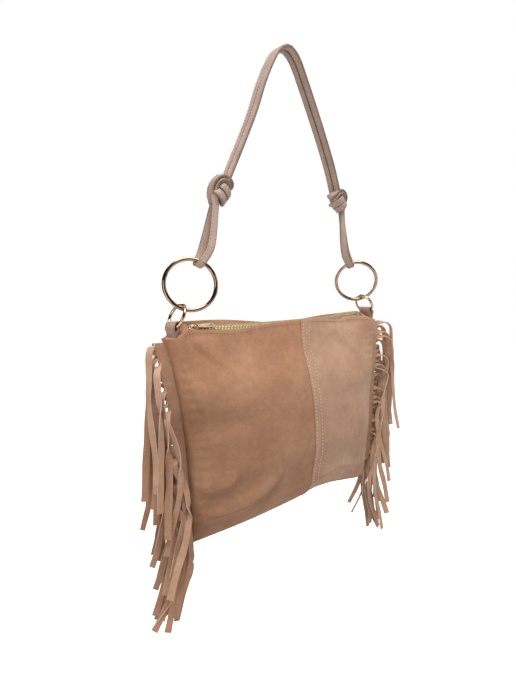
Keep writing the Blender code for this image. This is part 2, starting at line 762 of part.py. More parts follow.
def handle():
    body = over_strand("handle_strap", -1)
    use_solid(body, over_strand("strand_guide_back", 1), "UNION", "MANIFOLD")
    for name, side in (("left", -1), ("right", 1)):
        knot(body, "knot_" + name, side)
        use_solid(body, leg_loop("leg_guide_" + name, side), "UNION", "MANIFOLD")


# Fringe

def strand_plan(side, number, count, source):
    """Where one strand hangs: its reach out, its lane towards front or back, and its fall."""
    share = number / (count - 1)
    widest = STRAND_REACH_LEFT if side < 0 else STRAND_REACH_RIGHT
    reach = mix(widest, STRAND_REACH_LOWEST, share)
    lane = LANES[number % len(LANES)] * LANE_PITCH
    length = STRAND_LENGTH * source.uniform(*STRAND_LENGTH_SPREAD)
    turn = math.radians(source.uniform(*STRAND_TURN_SPREAD)) * source.choice((-1, 1))
    sway = side * (mix(STRAND_FLARE_TOP, STRAND_FLARE_LOW, share) + 0.002 * math.sin(number * 0.16 + 1.0))
    return reach, lane, length, turn, sway


def strand_sections(side, root, plan):
    """Cross-sections down one strand, each as its centre, width direction and thickness direction."""
    reach, lane, length, turn, sway = plan
    down = Vector((0, 0, -1))
    aim = Vector((side * reach, lane, 0))
    flat = aim.length
    aim.normalize()
    bend = min(flat * STRAND_BEND_SHARE, STRAND_BEND)
    lying = side * math.copysign(math.pi / 2, turn)
    spots = [(root + aim * (flat - bend) * 0.5, aim, lying * 0.5)]
    for angle in (math.radians(10.0), math.radians(50.0), math.radians(90.0)):
        centre = root + aim * (flat - bend + bend * math.sin(angle)) + down * bend * (1 - math.cos(angle))
        spots.append((centre, aim * math.cos(angle) + down * math.sin(angle), lying))
    knee = spots[-1][0]
    end = BAND_BOTTOM_Z - STRAND_LENGTH * (LOWEST_TIP_LEFT if side < 0 else LOWEST_TIP_RIGHT)
    lowest = end + length - STRAND_LENGTH
    fall = min(length - flat - bend * 0.57, knee.z - lowest)
    for part in (0.28, 0.62, 1.0):
        spread = part * part
        shift = Vector((sway * spread, lane * STRAND_FAN * spread, 0))
        spots.append((knee + down * fall * part + shift, down, lying + turn * smooth_step(part * 2.2)))
    sections = []
    axis = aim.cross(down)
    for centre, along, roll in spots:
        bent = math.acos(max(min(along.dot(aim), 1.0), -1.0))
        upright = Matrix.Rotation(bent, 3, axis) @ down
        width = Matrix.Rotation(roll, 3, along) @ upright
        sections.append((centre, width, along.cross(width)))
    return sections


def fringe(name, side):
    """One strip of suede: an uncut band sewn into the side seam, then cut into strands."""
    source = random.Random(4 if side < 0 else 9)
    count = int((BAND_TOP_Z - BAND_BOTTOM_Z) / STRAND_PITCH)
    half = STRAND_THICKNESS / 2
    points, faces = [], []

    def add_pair(z, out):
        centre = Vector((BAG_MID_X + side * (half_length(z) + out), 0, z))
        points.append(centre + Vector((0, -half, 0)))
        points.append(centre + Vector((0, half, 0)))
        return len(points) - 2

    levels = []
    for number in range(count):
        high = BAND_TOP_Z - number * STRAND_PITCH - (STRAND_PITCH - STRAND_WIDTH) / 2
        levels += [high, high - STRAND_WIDTH]
    inner = [add_pair(z, -SUEDE_THICKNESS) for z in levels]
    outer = [add_pair(z, BAND_WIDTH) for z in levels]
    for i in range(len(levels) - 1):
        a, b, c, d = inner[i], inner[i + 1], outer[i + 1], outer[i]
        faces += [(a, b, c, d), (a + 1, d + 1, c + 1, b + 1), (a, a + 1, b + 1, b)]
        if i % 2:
            faces.append((c, c + 1, d + 1, d))
    for i in (0, len(levels) - 1):
        faces.append((inner[i], inner[i] + 1, outer[i] + 1, outer[i]))
    for number in range(count):
        high, low = outer[2 * number], outer[2 * number + 1]
        loop = [high, low, low + 1, high + 1]
        root = (points[high] + points[low + 1]) / 2
        for centre, width, thick in strand_sections(side, root, strand_plan(side, number, count, source)):
            w, t = width * STRAND_WIDTH / 2, thick * half * side
            start = len(points)
            points += [centre - w - t, centre + w - t, centre + w + t, centre - w + t]
            fresh = [start, start + 1, start + 2, start + 3]
            for k in range(4):
                m = (k + 1) % 4
                faces.append((loop[k], loop[m], fresh[m], fresh[k]))
            loop = fresh
        faces.append(tuple(loop))
    return make_object(name, points, faces, suede(), 50.0)


def rings_and_tabs():
    for name, side in (("left", -1), ("right", 1)):
        ring("big_ring_" + name, big_ring_centre(side), big_ring_normal(side), big_radius(),
             BIG_RING_WIRE, 32, pale_gold())
        ring("small_ring_" + name, small_ring_centre(side), small_ring_normal(side), small_radius(),
             SMALL_RING_WIRE, 24, pale_gold())
        tab("tab_" + name, side)


clear_scene()
bag_body()
rings_and_tabs()
handle()
zip_tape("zip_tape_front", -1)
zip_tape("zip_tape_back", 1)
zip_stop("zip_stop_left", -1)
zip_stop("zip_stop_right", 1)
zip_slider()
zip_pull()
fringe("fringe_left", -1)
fringe("fringe_right", 1)
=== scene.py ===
import random
from math import acos, copysign, cos, exp, pi, radians, sin, sqrt

import bmesh
import bpy
from mathutils import Matrix, Vector, noise


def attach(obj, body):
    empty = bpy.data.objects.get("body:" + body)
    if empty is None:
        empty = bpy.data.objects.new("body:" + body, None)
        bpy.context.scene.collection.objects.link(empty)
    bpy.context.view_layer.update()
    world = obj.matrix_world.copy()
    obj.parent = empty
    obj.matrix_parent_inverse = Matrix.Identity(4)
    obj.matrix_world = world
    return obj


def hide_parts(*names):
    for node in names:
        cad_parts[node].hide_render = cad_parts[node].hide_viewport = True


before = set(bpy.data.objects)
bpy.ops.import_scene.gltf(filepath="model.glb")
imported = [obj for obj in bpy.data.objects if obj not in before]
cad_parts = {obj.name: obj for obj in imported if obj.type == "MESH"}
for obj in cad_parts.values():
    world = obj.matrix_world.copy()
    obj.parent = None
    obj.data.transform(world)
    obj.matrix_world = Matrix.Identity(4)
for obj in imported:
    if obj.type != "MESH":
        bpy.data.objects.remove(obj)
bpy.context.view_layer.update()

# The view: from the left of the bag and just above its zip, looking along its length from a
# little more than half a metre away.
EYE = Vector((-0.4087, -0.4498, -0.2792))
YAW, PITCH, ROLL = radians(38.43), radians(-7.18), radians(-1.30)
SENSOR_WIDTH, FOCAL_LENGTH = 36.0, 24.59


def put_in(name, data):
    """Sets a mesh, lamp, curve or camera into the scene."""
    item = bpy.data.objects.new(name, data)
    bpy.context.scene.collection.objects.link(item)
    return item


ahead = Vector((sin(YAW) * cos(PITCH), cos(YAW) * cos(PITCH), sin(PITCH)))
level = Vector((cos(YAW), -sin(YAW), 0))
above = level.cross(ahead)
right = level * cos(ROLL) + above * sin(ROLL)
upward = above * cos(ROLL) - level * sin(ROLL)
lens = bpy.data.cameras.new("camera")
lens.sensor_width = SENSOR_WIDTH
lens.lens = FOCAL_LENGTH
camera = put_in("camera", lens)
turn = Matrix((right, upward, -ahead)).transposed()
camera.matrix_world = Matrix.Translation(EYE) @ turn.to_4x4()
bpy.context.scene.camera = camera


# Left front panel: the larger piece of brushed suede on the front, sewn to the zip above and
# folded under at the bottom. The bag is soft, so it hangs full in the middle and flat at its ends.
BAG_MID_X = -0.0057
TOP_HALF_LENGTH = 0.1745
BOTTOM_HALF_LENGTH = 0.1545
SHOULDER_Z = -0.334
BOTTOM_Z = -0.576
SEAM_X = 0.0215
SUEDE = 0.0015
BULGE_DEPTH = 0.034
CREASE_DEPTH = 0.024
CREASE_HEIGHT = 0.026
CORNER_HALF_DEPTH = 0.0142
CORNER_RISE = 0.014
ZIP_HALF_LENGTH = 0.146
MOUTH = {True: (0.0073, -0.3275), False: (0.0053, -0.3185)}
SEAM_GAP = 0.00095
# How far the soft edges leave their straight lines: (distance along the bag, rise), in millimetres.
MOUTH_WAVE = {
    True: ((-165, 0), (-146, 1.2), (-120, 0), (-95, -3), (-70, -2.6), (-45, 0), (0, 1.6), (50, 2),
           (75, 0), (97, -2), (120, 0), (146, -1), (165, 0)),
    False: ((-165, 0), (-146, 1.2), (-120, 1), (-95, 0), (-70, -2.4), (-45, -5.4), (-20, -7.6), (20, -7.6),
            (50, -5.6), (75, -4), (100, -3.4), (146, -2.4), (165, 0))}
BOTTOM_RISE = ((-155, 3.5), (-100, 3), (-50, 4), (0, 6), (26, 8), (50, 11), (77, 11.6), (103, 9), (129, 5),
               (155, 1))
# How far the left side seam bows in towards the middle: (height, distance in), in millimetres.
SIDE_BOW = ((-576, 6), (-520, 8), (-470, 10.5), (-420, 10.5), (-375, 7.5), (-345, 4), (-334, 0), (-300, 0))
# Folds of the front, each as (distance along, height) spots, how far it stands out and its width.
FOLDS = (
    (((-175, -500), (-160, -506), (-139, -510), (-118, -507), (-100, -497)), 4.6, 8.0),
    (((-160, -541), (-119, -541), (-87, -538), (-63, -528), (-42, -515), (-28, -502)), 7.6, 9.0),
    (((30, -540), (52, -536), (75, -534), (97, -538), (115, -545)), 4.0, 8.0),
    (((-150, -338), (-131, -349), (-112, -364), (-90, -382)), 2.4, 14.0),
    (((-165, -362), (-157, -395), (-140, -430)), 1.2, 12.0),
    (((60, -352), (84, -345), (110, -366), (130, -392)), 1.8, 14.0))
ROLL_HEIGHT, RIPPLE_HEIGHT, PUCKER_HEIGHT = 0.0036, 0.0010, 0.00035


def smooth(value):
    value = min(max(value, 0.0), 1.0)
    return value * value * (3.0 - 2.0 * value)


def mix(a, b, share):
    return a + (b - a) * share


def half_length(z):
    return mix(TOP_HALF_LENGTH, BOTTOM_HALF_LENGTH, (z - SHOULDER_Z) / (BOTTOM_Z - SHOULDER_Z))


def wave(x, spots):
    """A smooth curve through given (distance, rise) spots, both in millimetres."""
    x *= 1000.0
    n = min(max(sum(1 for spot in spots if spot[0] <= x) - 1, 0), len(spots) - 2)
    (a, low), (b, high) = spots[n], spots[n + 1]
    before, after = spots[max(n - 1, 0)], spots[min(n + 2, len(spots) - 1)]
    s = min(max((x - a) / (b - a), 0.0), 1.0)
    leave = (high - before[1]) / (b - before[0]) * (b - a)
    arrive = (after[1] - low) / (after[0] - a) * (b - a)
    rise = low + leave * s + (3 * (high - low) - 2 * leave - arrive) * s * s
    return (rise + (leave + arrive - 2 * (high - low)) * s ** 3) * 0.001


def top_edge(x, front):
    start = ZIP_HALF_LENGTH + 0.001
    share = smooth((abs(x) - start) / (TOP_HALF_LENGTH - 0.006 - start))
    return mix(MOUTH[front][1], SHOULDER_Z, share) + wave(x, MOUTH_WAVE[front])


def side_bow(x, z):
    return wave(z, SIDE_BOW) * smooth((-x - 0.03) / (half_length(z) - 0.03)) if x < 0 else 0.0


def height_at(x, v, front):
    return mix(top_edge(x, front), BOTTOM_Z + wave(x, BOTTOM_RISE), v)


def belly(v):
    crease = 1.0 - CREASE_HEIGHT / (SHOULDER_Z - BOTTOM_Z)
    if v > crease:
        return CREASE_DEPTH * ((1.0 - v) / (1.0 - crease)) ** 0.7
    full = BULGE_DEPTH * sin(pi / 2 * min(v / 0.66, 1.0)) ** 1.1
    return mix(full, CREASE_DEPTH, smooth((v - 0.66) / (crease - 0.66)))


def depth_at(x, v, front, z):
    u = min(abs(x) / half_length(z), 1.0)
    corner = smooth((abs(x) - ZIP_HALF_LENGTH + 0.001) / CORNER_RISE)
    deep = mix(mix(MOUTH[front][0], CORNER_HALF_DEPTH, corner), belly(v), smooth(v / 0.30))
    square = mix(26.0, 2.4, smooth(v / 0.45))
    return SEAM_GAP + (deep - SEAM_GAP) * sqrt(max(1.0 - u ** square, 0.0))


def fold_height(x, z, spots, height, width):
    """One fold: it comes out of the face gently from above and drops back sharply below."""
    flat_x = x * 1000.0
    if not spots[0][0] < flat_x < spots[-1][0]:
        return 0.0
    along = (flat_x - spots[0][0]) / (spots[-1][0] - spots[0][0])
    over = z * 1000.0 - wave(x, spots) * 1000.0
    reach = width * (1.6 if over > 0 else 0.55)
    return height * 0.001 * exp(-(over / reach) ** 2) * smooth(along * 4) * smooth((1 - along) * 4)


def drape(x, z, front):
    """How the hanging suede stands in and out of its even shape, in metres."""
    v = (z - SHOULDER_Z) / (BOTTOM_Z - SHOULDER_Z)
    edge = (half_length(z) - abs(x)) / 0.02
    calm = smooth(edge) * smooth(v / 0.10) * smooth((1.0 - v) / 0.06)
    seed = 3.0 if front else 8.0
    roll = noise.noise(Vector((x * 13.0 + seed, seed, z * 11.0))) * ROLL_HEIGHT
    small = noise.noise(Vector((x * 42.0, seed * 2, z * 36.0))) * RIPPLE_HEIGHT
    fold = sum(fold_height(x, z, *shape) for shape in FOLDS) if front else 0.0
    pucker = sin(z * 560.0 + 2.0 * noise.noise(Vector((z * 40.0, 0, seed)))) * PUCKER_HEIGHT
    pucker *= smooth(edge * 2.2) * smooth((1.6 - edge) / 1.2)
    return (roll + small) * calm + fold * smooth(edge * 1.5) * smooth(v / 0.02) + pucker * smooth(v / 0.08)


def panel_spot(share, v, front, lap=0.0):
    start = share * TOP_HALF_LENGTH
    z = height_at(start, v, front)
    shrink = half_length(mix(SHOULDER_Z, BOTTOM_Z, v)) / TOP_HALF_LENGTH
    pull = SEAM_X * (1.0 - shrink) * max(1.0 - abs(start - SEAM_X) / 0.06, 0.0)
    x = start * shrink + pull
    if abs(share) == 1.0:
        x = copysign(half_length(z), share)
    y = depth_at(x, v, front, z) + drape(x, z, front) + lap
    return Vector((BAG_MID_X + x + side_bow(x, z), -y if front else y, z))


def set_out(name, mesh, angle, merge=0.0):
    """Turns a mesh's faces outward, shades it smooth up to an angle and sets it into the scene."""
    shape = bmesh.new()
    shape.from_mesh(mesh)
    if merge:
        bmesh.ops.remove_doubles(shape, verts=shape.verts, dist=merge)
    bmesh.ops.recalc_face_normals(shape, faces=shape.faces)
    shape.to_mesh(mesh)
    shape.free()
    mesh.shade_smooth()
    mesh.set_sharp_from_angle(angle=radians(angle))
    return put_in(name, mesh)


def make_piece(name, points, faces, finishes, picks=None, angle=45.0):
    mesh = bpy.data.meshes.new(name)
    mesh.from_pydata([tuple(p) for p in points], [], faces)
    for finish in finishes:
        mesh.materials.append(finish)
    if picks:
        mesh.polygons.foreach_set("material_index", picks)
    mesh.validate()
    return set_out(name, mesh, angle)


def shell(grid, outward, thickness):
    """A closed skin from a grid of outer points. outward turns each inner point away from the face."""
    rows, columns = len(grid) - 1, len(grid[0]) - 1
    wide = columns + 1
    inner = []
    for j in range(rows + 1):
        for i in range(wide):
            along = grid[j][min(i + 1, columns)] - grid[j][max(i - 1, 0)]
            down = grid[min(j + 1, rows)][i] - grid[max(j - 1, 0)][i]
            out = along.cross(down).normalized()
            if out.dot(outward) < 0:
                out = -out
            out = Vector((out.x * 0.3, out.y, out.z * 0.3 if 0 < j < rows else 0.0)).normalized()
            inner.append(grid[j][i] - out * thickness)
    points = [p for line in grid for p in line] + inner
    shift = wide * (rows + 1)
    faces = []
    for j in range(rows):
        for i in range(columns):
            a, b = j * wide + i, j * wide + i + 1
            faces.append((a, b, b + wide, a + wide))
            faces.append((a + shift, a + wide + shift, b + wide + shift, b + shift))
    rim = [i for i in range(wide)] + [j * wide + columns for j in range(1, rows + 1)]
    rim += [rows * wide + i for i in range(columns - 1, -1, -1)] + [j * wide for j in range(rows - 1, 0, -1)]
    for n, a in enumerate(rim):
        b = rim[(n + 1) % len(rim)]
        faces.append((a, b, b + shift, a + shift))
    return points, faces


def tone(red, green, blue):
    """A paint colour, from the 0 to 255 values it is mixed by."""
    parts = [part / 255 for part in (red, green, blue)]
    return tuple(p / 12.92 if p <= 0.04045 else ((p + 0.055) / 1.055) ** 2.4 for p in parts) + (1.0,)


def start_finish(name):
    finish = bpy.data.materials.new(name)
    finish.use_nodes = True
    tree = finish.node_tree
    shader = tree.nodes["Principled BSDF"]
    place = tree.nodes.new("ShaderNodeTexCoord")
    return finish, tree, shader, place.outputs["Object"]


def grey(value):
    return (value, value, value, 1.0)


def settle(tree, item, values):
    """Sets a node's sockets, each to a value or to what another node gives."""
    for socket, value in values.items():
        if isinstance(value, bpy.types.NodeSocket):
            tree.links.new(value, item.inputs[socket])
        else:
            item.inputs[socket].default_value = value
    return item


def add_node(tree, kind, values):
    return settle(tree, tree.nodes.new("ShaderNode" + kind), values)


def grainy(tree, place, scale, detail=2.0, rough=0.5, distortion=0.0):
    return add_node(tree, "TexNoise", {"Vector": place, "Scale": scale, "Detail": detail, "Roughness": rough,
                                       "Distortion": distortion}).outputs["Fac"]


def ramp(tree, value, *stops):
    """A change of colour along a value. A stop is its place and a colour or a level of grey."""
    item = add_node(tree, "ValToRGB", {"Fac": value})
    band = item.color_ramp
    while len(band.elements) < len(stops):
        band.elements.new(0.5)
    for element, (spot, colour) in zip(band.elements, stops):
        element.position = spot
        element.color = grey(colour) if isinstance(colour, float) else colour
    return item.outputs["Color"]


def times(tree, colour, shade, strength=1.0):
    item = tree.nodes.new("ShaderNodeMix")
    item.data_type = "RGBA"
    item.blend_type = "MULTIPLY"
    return settle(tree, item, {"Factor": strength, "A": colour, "B": shade}).outputs["Result"]


def bumped(tree, shader, *layers):
    """Layers are (height, strength, distance), laid over each other."""
    under = {}
    for height, strength, distance in layers:
        values = {"Strength": strength, "Distance": distance, "Height": height}
        under = {"Normal": add_node(tree, "Bump", values | under).outputs["Normal"]}
    settle(tree, shader, under)


def brushed_suede(name, dark, middle, light, sheen=0.22, low=0.90, high=1.10):
    """Brushed suede: cloudy patches where the nap lies another way, small scuffs and a fine nap.
    The colour is painted darker towards the bottom and lighter towards the top, as painted shade and painted
    light from the lamp above. low and high give these painted shades below and above."""
    finish, tree, shader, place = start_finish(name)
    clouds = grainy(tree, place, 17.0, 5.0, 0.55, 0.2)
    colour = ramp(tree, clouds, (0.26, dark), (0.50, middle), (0.78, light))
    height = add_node(tree, "SeparateXYZ", {"Vector": place}).outputs["Z"]
    # Painted light and shade: the colour is multiplied from low at the bottom to high at the top.
    painted_light_by_height = add_node(tree, "MapRange", {"Value": height, "From Min": PAINTED_SHADE_BELOW, "From Max": PAINTED_LIGHT_ABOVE})
    colour = times(tree, colour, ramp(tree, painted_light_by_height.outputs["Result"], (0.0, low), (1.0, high)))
    scuffs = grainy(tree, place, 110.0, 6.0, 0.72, 0.3)
    colour = times(tree, colour, ramp(tree, scuffs, (0.32, 0.86), (0.64, 1.08)), 0.9)
    nap = grainy(tree, place, 900.0, 3.0, 0.75)
    colour = times(tree, colour, ramp(tree, nap, (0.25, 0.80), (0.75, 1.14)), 0.85)
    settle(tree, shader, {"Base Color": colour, "Roughness": 0.93, "Specular IOR Level": 0.18,
                          "Sheen Weight": sheen, "Sheen Roughness": 0.45, "Sheen Tint": tone(236, 208, 184)})
    bumped(tree, shader, (scuffs, 0.35, 0.0010), (nap, 0.55, 0.0005))
    return finish


# Between these heights the suede is painted from darker below to lighter above, as painted shade and painted
# light from the lamp overhead; the left panel gets the strongest.
PAINTED_SHADE_BELOW, PAINTED_LIGHT_ABOVE = -0.42, -0.34
suede_left = brushed_suede("suede_left", tone(158, 114, 87), tone(168, 124, 96), tone(180, 137, 108),
                           low=0.83, high=1.16)
# The mesh is finer along the side edges: shares of the half length, from the edge to the even part.
EDGE_SHARES = [1.0, 0.9985, 0.995, 0.990, 0.984, 0.977, 0.968, 0.958, 0.947, 0.935]
EVEN_SHARE = 0.922
SEAM_SHARE = SEAM_X / TOP_HALF_LENGTH
ROWS = [(j / 92) ** 0.95 for j in range(93)]
left_shares = [-share for share in EDGE_SHARES] + [mix(-EVEN_SHARE, SEAM_SHARE, i / 96) for i in range(97)]
grid = [[panel_spot(share, v, True) for share in left_shares] for v in ROWS]
points, faces = shell(grid, Vector((0, -1, 0)), SUEDE)
front_left = make_piece("front_suede_left", points, faces, [suede_left])
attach(front_left, "bag")
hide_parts("front_panel_left")


# Right front panel: a second hide, paler and greyer. Its left edge is turned under, lapped over
# the other panel and topstitched to it with two rows of pale thread.
LAP = 0.0012
LAP_WIDTH = 0.0150
suede_right = brushed_suede("suede_right", tone(166, 129, 105), tone(177, 140, 116), tone(188, 152, 128),
                            sheen=0.26)
right_shares = [mix(SEAM_SHARE, EVEN_SHARE, i / 68) for i in range(69)] + EDGE_SHARES[::-1]
grid = []
for v in ROWS:
    line = []
    for share in right_shares:
        past_seam = (share * TOP_HALF_LENGTH - SEAM_X) / LAP_WIDTH
        spot = panel_spot(share, v, True, LAP * (1.0 - smooth(past_seam - 0.15)))
        if share == right_shares[0]:
            spot.x -= LAP
        line.append(spot)
    grid.append(line)
points, faces = shell(grid, Vector((0, -1, 0)), SUEDE)
front_right = make_piece("front_suede_right", points, faces, [suede_right])
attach(front_right, "bag")
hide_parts("front_panel_right")

THREAD, STITCH, STITCH_GAP = 0.00046, 0.0022, 0.0024
STITCH_SIDES = 6
NEAR_ROW, FAR_ROW = 0.0018, 0.0125


def ring_faces(a, b, size, shift=0):
    """The faces between two rings of points, from their first points."""
    return [(a + k, a + (k + 1) % size, b + (k + 1 + shift) % size, b + (k + shift) % size)
            for k in range(size)]


def cap(first, size):
    return tuple(range(first, first + size))


def stitch_row(path, normals, points, faces, length=STITCH, gap=STITCH_GAP, radius=THREAD):
    """Sets stitches along a path: each comes up from its needle hole, lies on top and goes down."""
    reach = [0.0]
    for a, b in zip(path, path[1:]):
        reach.append(reach[-1] + (b - a).length)
    where, n = gap, 0
    profile = ((0.0, 0.25, -0.9), (0.14, 0.85, 0.25), (0.5, 1.0, 0.75), (0.86, 0.85, 0.25), (1.0, 0.25, -0.9))
    while where + length < reach[-1]:
        rings = []
        for part, fat, lift in profile:
            along_path = where + length * part
            while reach[n + 1] < along_path:
                n += 1
            share = (along_path - reach[n]) / max(reach[n + 1] - reach[n], 1e-9)
            centre = path[n].lerp(path[n + 1], share)
            up = normals[n].lerp(normals[n + 1], share).normalized()
            ahead_here = (path[n + 1] - path[n]).normalized()
            aside = ahead_here.cross(up).normalized()
            first = len(points)
            for k in range(STITCH_SIDES):
                angle = 2 * pi * k / STITCH_SIDES
                points.append(centre + up * radius * (lift + fat * sin(angle))
                              + aside * radius * fat * cos(angle))
            rings.append(first)
        for a, b in zip(rings, rings[1:]):
            faces += ring_faces(a, b, STITCH_SIDES)
        faces += [cap(rings[0], STITCH_SIDES), cap(rings[-1], STITCH_SIDES)]
        while n > 0 and reach[n] > where + length:
            n -= 1
        where += length + gap


def panel_run(shares_and_rows, front, lap=0.0):
    """A path on a panel's face, with the face's outward direction at each point."""
    path, normals = [], []
    for share, v in shares_and_rows:
        spot = panel_spot(share, v, front, lap)
        beside = panel_spot(share + 0.004, v, front, lap) - spot
        below = panel_spot(share, v + 0.004, front, lap) - spot
        out = beside.cross(below).normalized()
        path.append(spot)
        normals.append(out if (out.y < 0) == front else -out)
    return path, normals


def sewing_thread(name, colour):
    finish, tree, shader, place = start_finish(name)
    twist = grainy(tree, place, 2600.0, 2.0)
    shade = tuple(c * 0.78 for c in colour[:3]) + (1.0,)
    settle(tree, shader, {"Base Color": ramp(tree, twist, (0.3, shade), (0.7, colour)), "Roughness": 0.7})
    bumped(tree, shader, (twist, 0.6, 0.0003))
    return finish


pale_thread = sewing_thread("pale_thread", tone(226, 202, 176))
points, faces = [], []
rows_down = [0.012 + 0.974 * i / 120 for i in range(121)]
for aside in (NEAR_ROW, FAR_ROW):
    share = (SEAM_X + aside) / TOP_HALF_LENGTH
    path, normals = panel_run([(share, v) for v in rows_down], True, LAP + 0.0001)
    stitch_row(path, normals, points, faces)
seam_stitches = make_piece("seam_stitches", points, faces, [pale_thread])
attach(seam_stitches, "bag")


# Back panel: one plain piece of the same suede, with the top corners turned over and closed
# round the tabs at both ends of the zip.
suede_back = brushed_suede("suede_back", tone(160, 116, 88), tone(173, 130, 101), tone(190, 148, 119))
back_shares = [-share for share in EDGE_SHARES] + [mix(-EVEN_SHARE, EVEN_SHARE, i / 150) for i in range(151)]
back_shares += EDGE_SHARES[::-1]
grid = [[panel_spot(share, v, False) for share in back_shares] for v in ROWS]
points, faces = shell(grid, Vector((0, 1, 0)), SUEDE)
steps, across = 22, 12
for side in (-1, 1):
    first = len(points)
    for i in range(steps + 1):
        x = mix(ZIP_HALF_LENGTH - 0.0005, TOP_HALF_LENGTH - 0.0012, i / steps)
        low = -depth_at(side * x, 0.0, True, top_edge(side * x, True)) + SUEDE * 0.7
        high = depth_at(side * x, 0.0, False, top_edge(side * x, False)) - SUEDE * 0.7
        for k in range(across + 1):
            share = k / across
            z = mix(top_edge(side * x, True), top_edge(side * x, False), share)
            dome = sin(pi * share) * 0.0016 - 0.0009
            dome += 0.0008 * sin(x * 900.0 + k) * sin(pi * share)
            points.append(Vector((BAG_MID_X + side * x, mix(low, high, share), z + dome)))
    for i in range(steps):
        for k in range(across):
            a = first + i * (across + 1) + k
            faces.append((a, a + 1, a + across + 2, a + across + 1))
back = make_piece("back_suede", points, faces, [suede_back])
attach(back, "bag")
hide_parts("back_panel")


# Topstitching: one row of thread of the suede's own colour, just below the mouth on the front and
# on the back. It holds the turned edges down.
suede_thread = sewing_thread("suede_thread", tone(152, 110, 82))
points, faces = [], []
for front in (True, False):
    path, normals = panel_run([(mix(-0.90, 0.90, i / 200), 0.016) for i in range(201)], front, 0.0001)
    stitch_row(path, normals, points, faces)
edge_stitches = make_piece("edge_stitches", points, faces, [suede_thread])
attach(edge_stitches, "bag")


# Fringes: on each side one strip of suede. Its band is sewn into the side seam, and the rest is
# cut with shears into thirty strands, which fall over each other and curl as leather does.
BAND_WIDTH = 0.015
BAND_TOP_Z = -0.337
BAND_BOTTOM_Z = -0.5595
STRAND_PITCH = 0.0072
STRAND_WIDTH = 0.0060
STRAND_THICKNESS = 0.0013
STRAND_LENGTH = 0.168
STRAND_REACH = {-1: 0.0095, 1: 0.024}
STRAND_REACH_LOWEST = 0.005
STRAND_BEND = 0.013
LANE_PITCH = 0.0041
STRAND_FAN = 0.7
FLARE_TOP = 0.001
FLARE_LOW = {-1: 0.020, 1: 0.008}
LOWEST_TIP = {-1: 0.527, 1: 0.640}
LANES = (-2, 1, -1, -3, 0, 3, 2)
COUNT = int((BAND_TOP_Z - BAND_BOTTOM_Z) / STRAND_PITCH)
SHEAR_SLIP = (-0.0012, 0.0004)
LENGTH_SPREAD = (0.94, 1.05)
TWIST_SPREAD = (68.0, 112.0)
TUCK_IN = 0.010
RIPPLE = 0.0034
CURL_TOP, CURL_LOW = 0.006, 0.020
GATHERED_CURL = Vector((-0.036, 0.008, 0))
FALL_STEPS = (0.16, 0.30, 0.46, 0.62, 0.80, 1.0)
SEEDS = {-1: (4, 31), 1: (9, 37)}


def through(points, steps):
    """A smooth line through points, with the same number of steps between each pair."""
    ends = [points[0] * 2 - points[1], *points, points[-1] * 2 - points[-2]]
    line = []
    for i in range(1, len(ends) - 2):
        a, b, c, d = ends[i - 1:i + 3]
        for step in range(steps):
            t = step / steps
            line.append(0.5 * (2 * b + (c - a) * t + (2 * a - 5 * b + 4 * c - d) * t * t
                               + (3 * b - a - 3 * c + d) * t * t * t))
    line.append(points[-1])
    return line


def strand_run(side, number, root, source, habit):
    """The middle line of one strand and the direction of its width, from its root to its tip."""
    share = number / (COUNT - 1)
    reach = mix(STRAND_REACH[side], STRAND_REACH_LOWEST, share)
    lane = LANES[number % len(LANES)] * LANE_PITCH
    length = STRAND_LENGTH * source.uniform(*LENGTH_SPREAD)
    twist = radians(source.uniform(*TWIST_SPREAD)) * source.choice((-1, 1))
    sway = side * (mix(FLARE_TOP, FLARE_LOW[side], share) + 0.002 * sin(number * 0.16 + 1.0))
    tuck = -side * TUCK_IN * smooth((share - 0.10) / 0.35) * (1.6 if LANES[number % len(LANES)] < -1 else 0.8)
    down = Vector((0, 0, -1))
    aim = Vector((side * reach, lane, 0))
    flat = aim.length
    aim.normalize()
    bend = min(flat * 0.7, STRAND_BEND)
    lying = side * copysign(pi / 2, twist)
    spots = [(root + aim * (flat - bend) * 0.5, aim, lying * 0.5)]
    for angle in map(radians, (10.0, 50.0, 90.0)):
        centre = root + aim * (flat - bend + bend * sin(angle)) + down * bend * (1 - cos(angle))
        spots.append((centre, aim * cos(angle) + down * sin(angle), lying))
    knee = spots[-1][0]
    lowest = BAND_BOTTOM_Z - STRAND_LENGTH * LOWEST_TIP[side] + length - STRAND_LENGTH
    fall = min(length - flat - bend * 0.57, knee.z - lowest)
    ripple = Vector((habit.uniform(-1, 1), habit.uniform(-1, 1), 0)) * RIPPLE
    outward = habit.uniform(-0.4, 1.0) if side < 0 else habit.uniform(-0.8, 0.5)
    curl = Vector((side * outward, habit.uniform(-0.7, 0.7), 0)) * mix(CURL_TOP, CURL_LOW, share)
    if side > 0 and lane > 0.006 and 0.35 < share < 0.7:
        curl = GATHERED_CURL
    turn = radians(habit.uniform(-52.0, 8.0) if side < 0 else habit.uniform(-60.0, 30.0))
    broad = Vector((cos(turn), sin(turn), 0))
    for part in FALL_STEPS:
        spread = part * part
        shift = Vector((sway * spread * part, lane * STRAND_FAN * spread, 0))
        shift.x += tuck * sin(pi * min(part * 1.15, 1.0)) ** 0.8
        shift += ripple * sin(part * 5.2 + number) * min(part * 3.0, 1.0) + curl * spread * part
        spots.append((knee + down * fall * part + shift, down, lying + twist * smooth(part * 2.2)))
    axis = aim.cross(down)
    centres, widths = [root], [Vector((0, 0, 1))]
    for centre, along, roll in spots:
        bent = acos(max(min(along.dot(aim), 1.0), -1.0))
        upright = Matrix.Rotation(bent, 3, axis) @ down
        centres.append(centre)
        width = (Matrix.Rotation(roll, 3, along) @ upright).normalized()
        hung = smooth((knee.z - centre.z) / fall * 2.2 - 0.2)
        widths.append(width.lerp(broad if width.dot(broad) > 0 else -broad, hung * 0.8).normalized())
    for i in range(1, len(widths)):
        if i == 1 and widths[1].dot(widths[0]) < 0:
            widths[0] = -widths[0]
    return through(centres, 4), through(widths, 4)


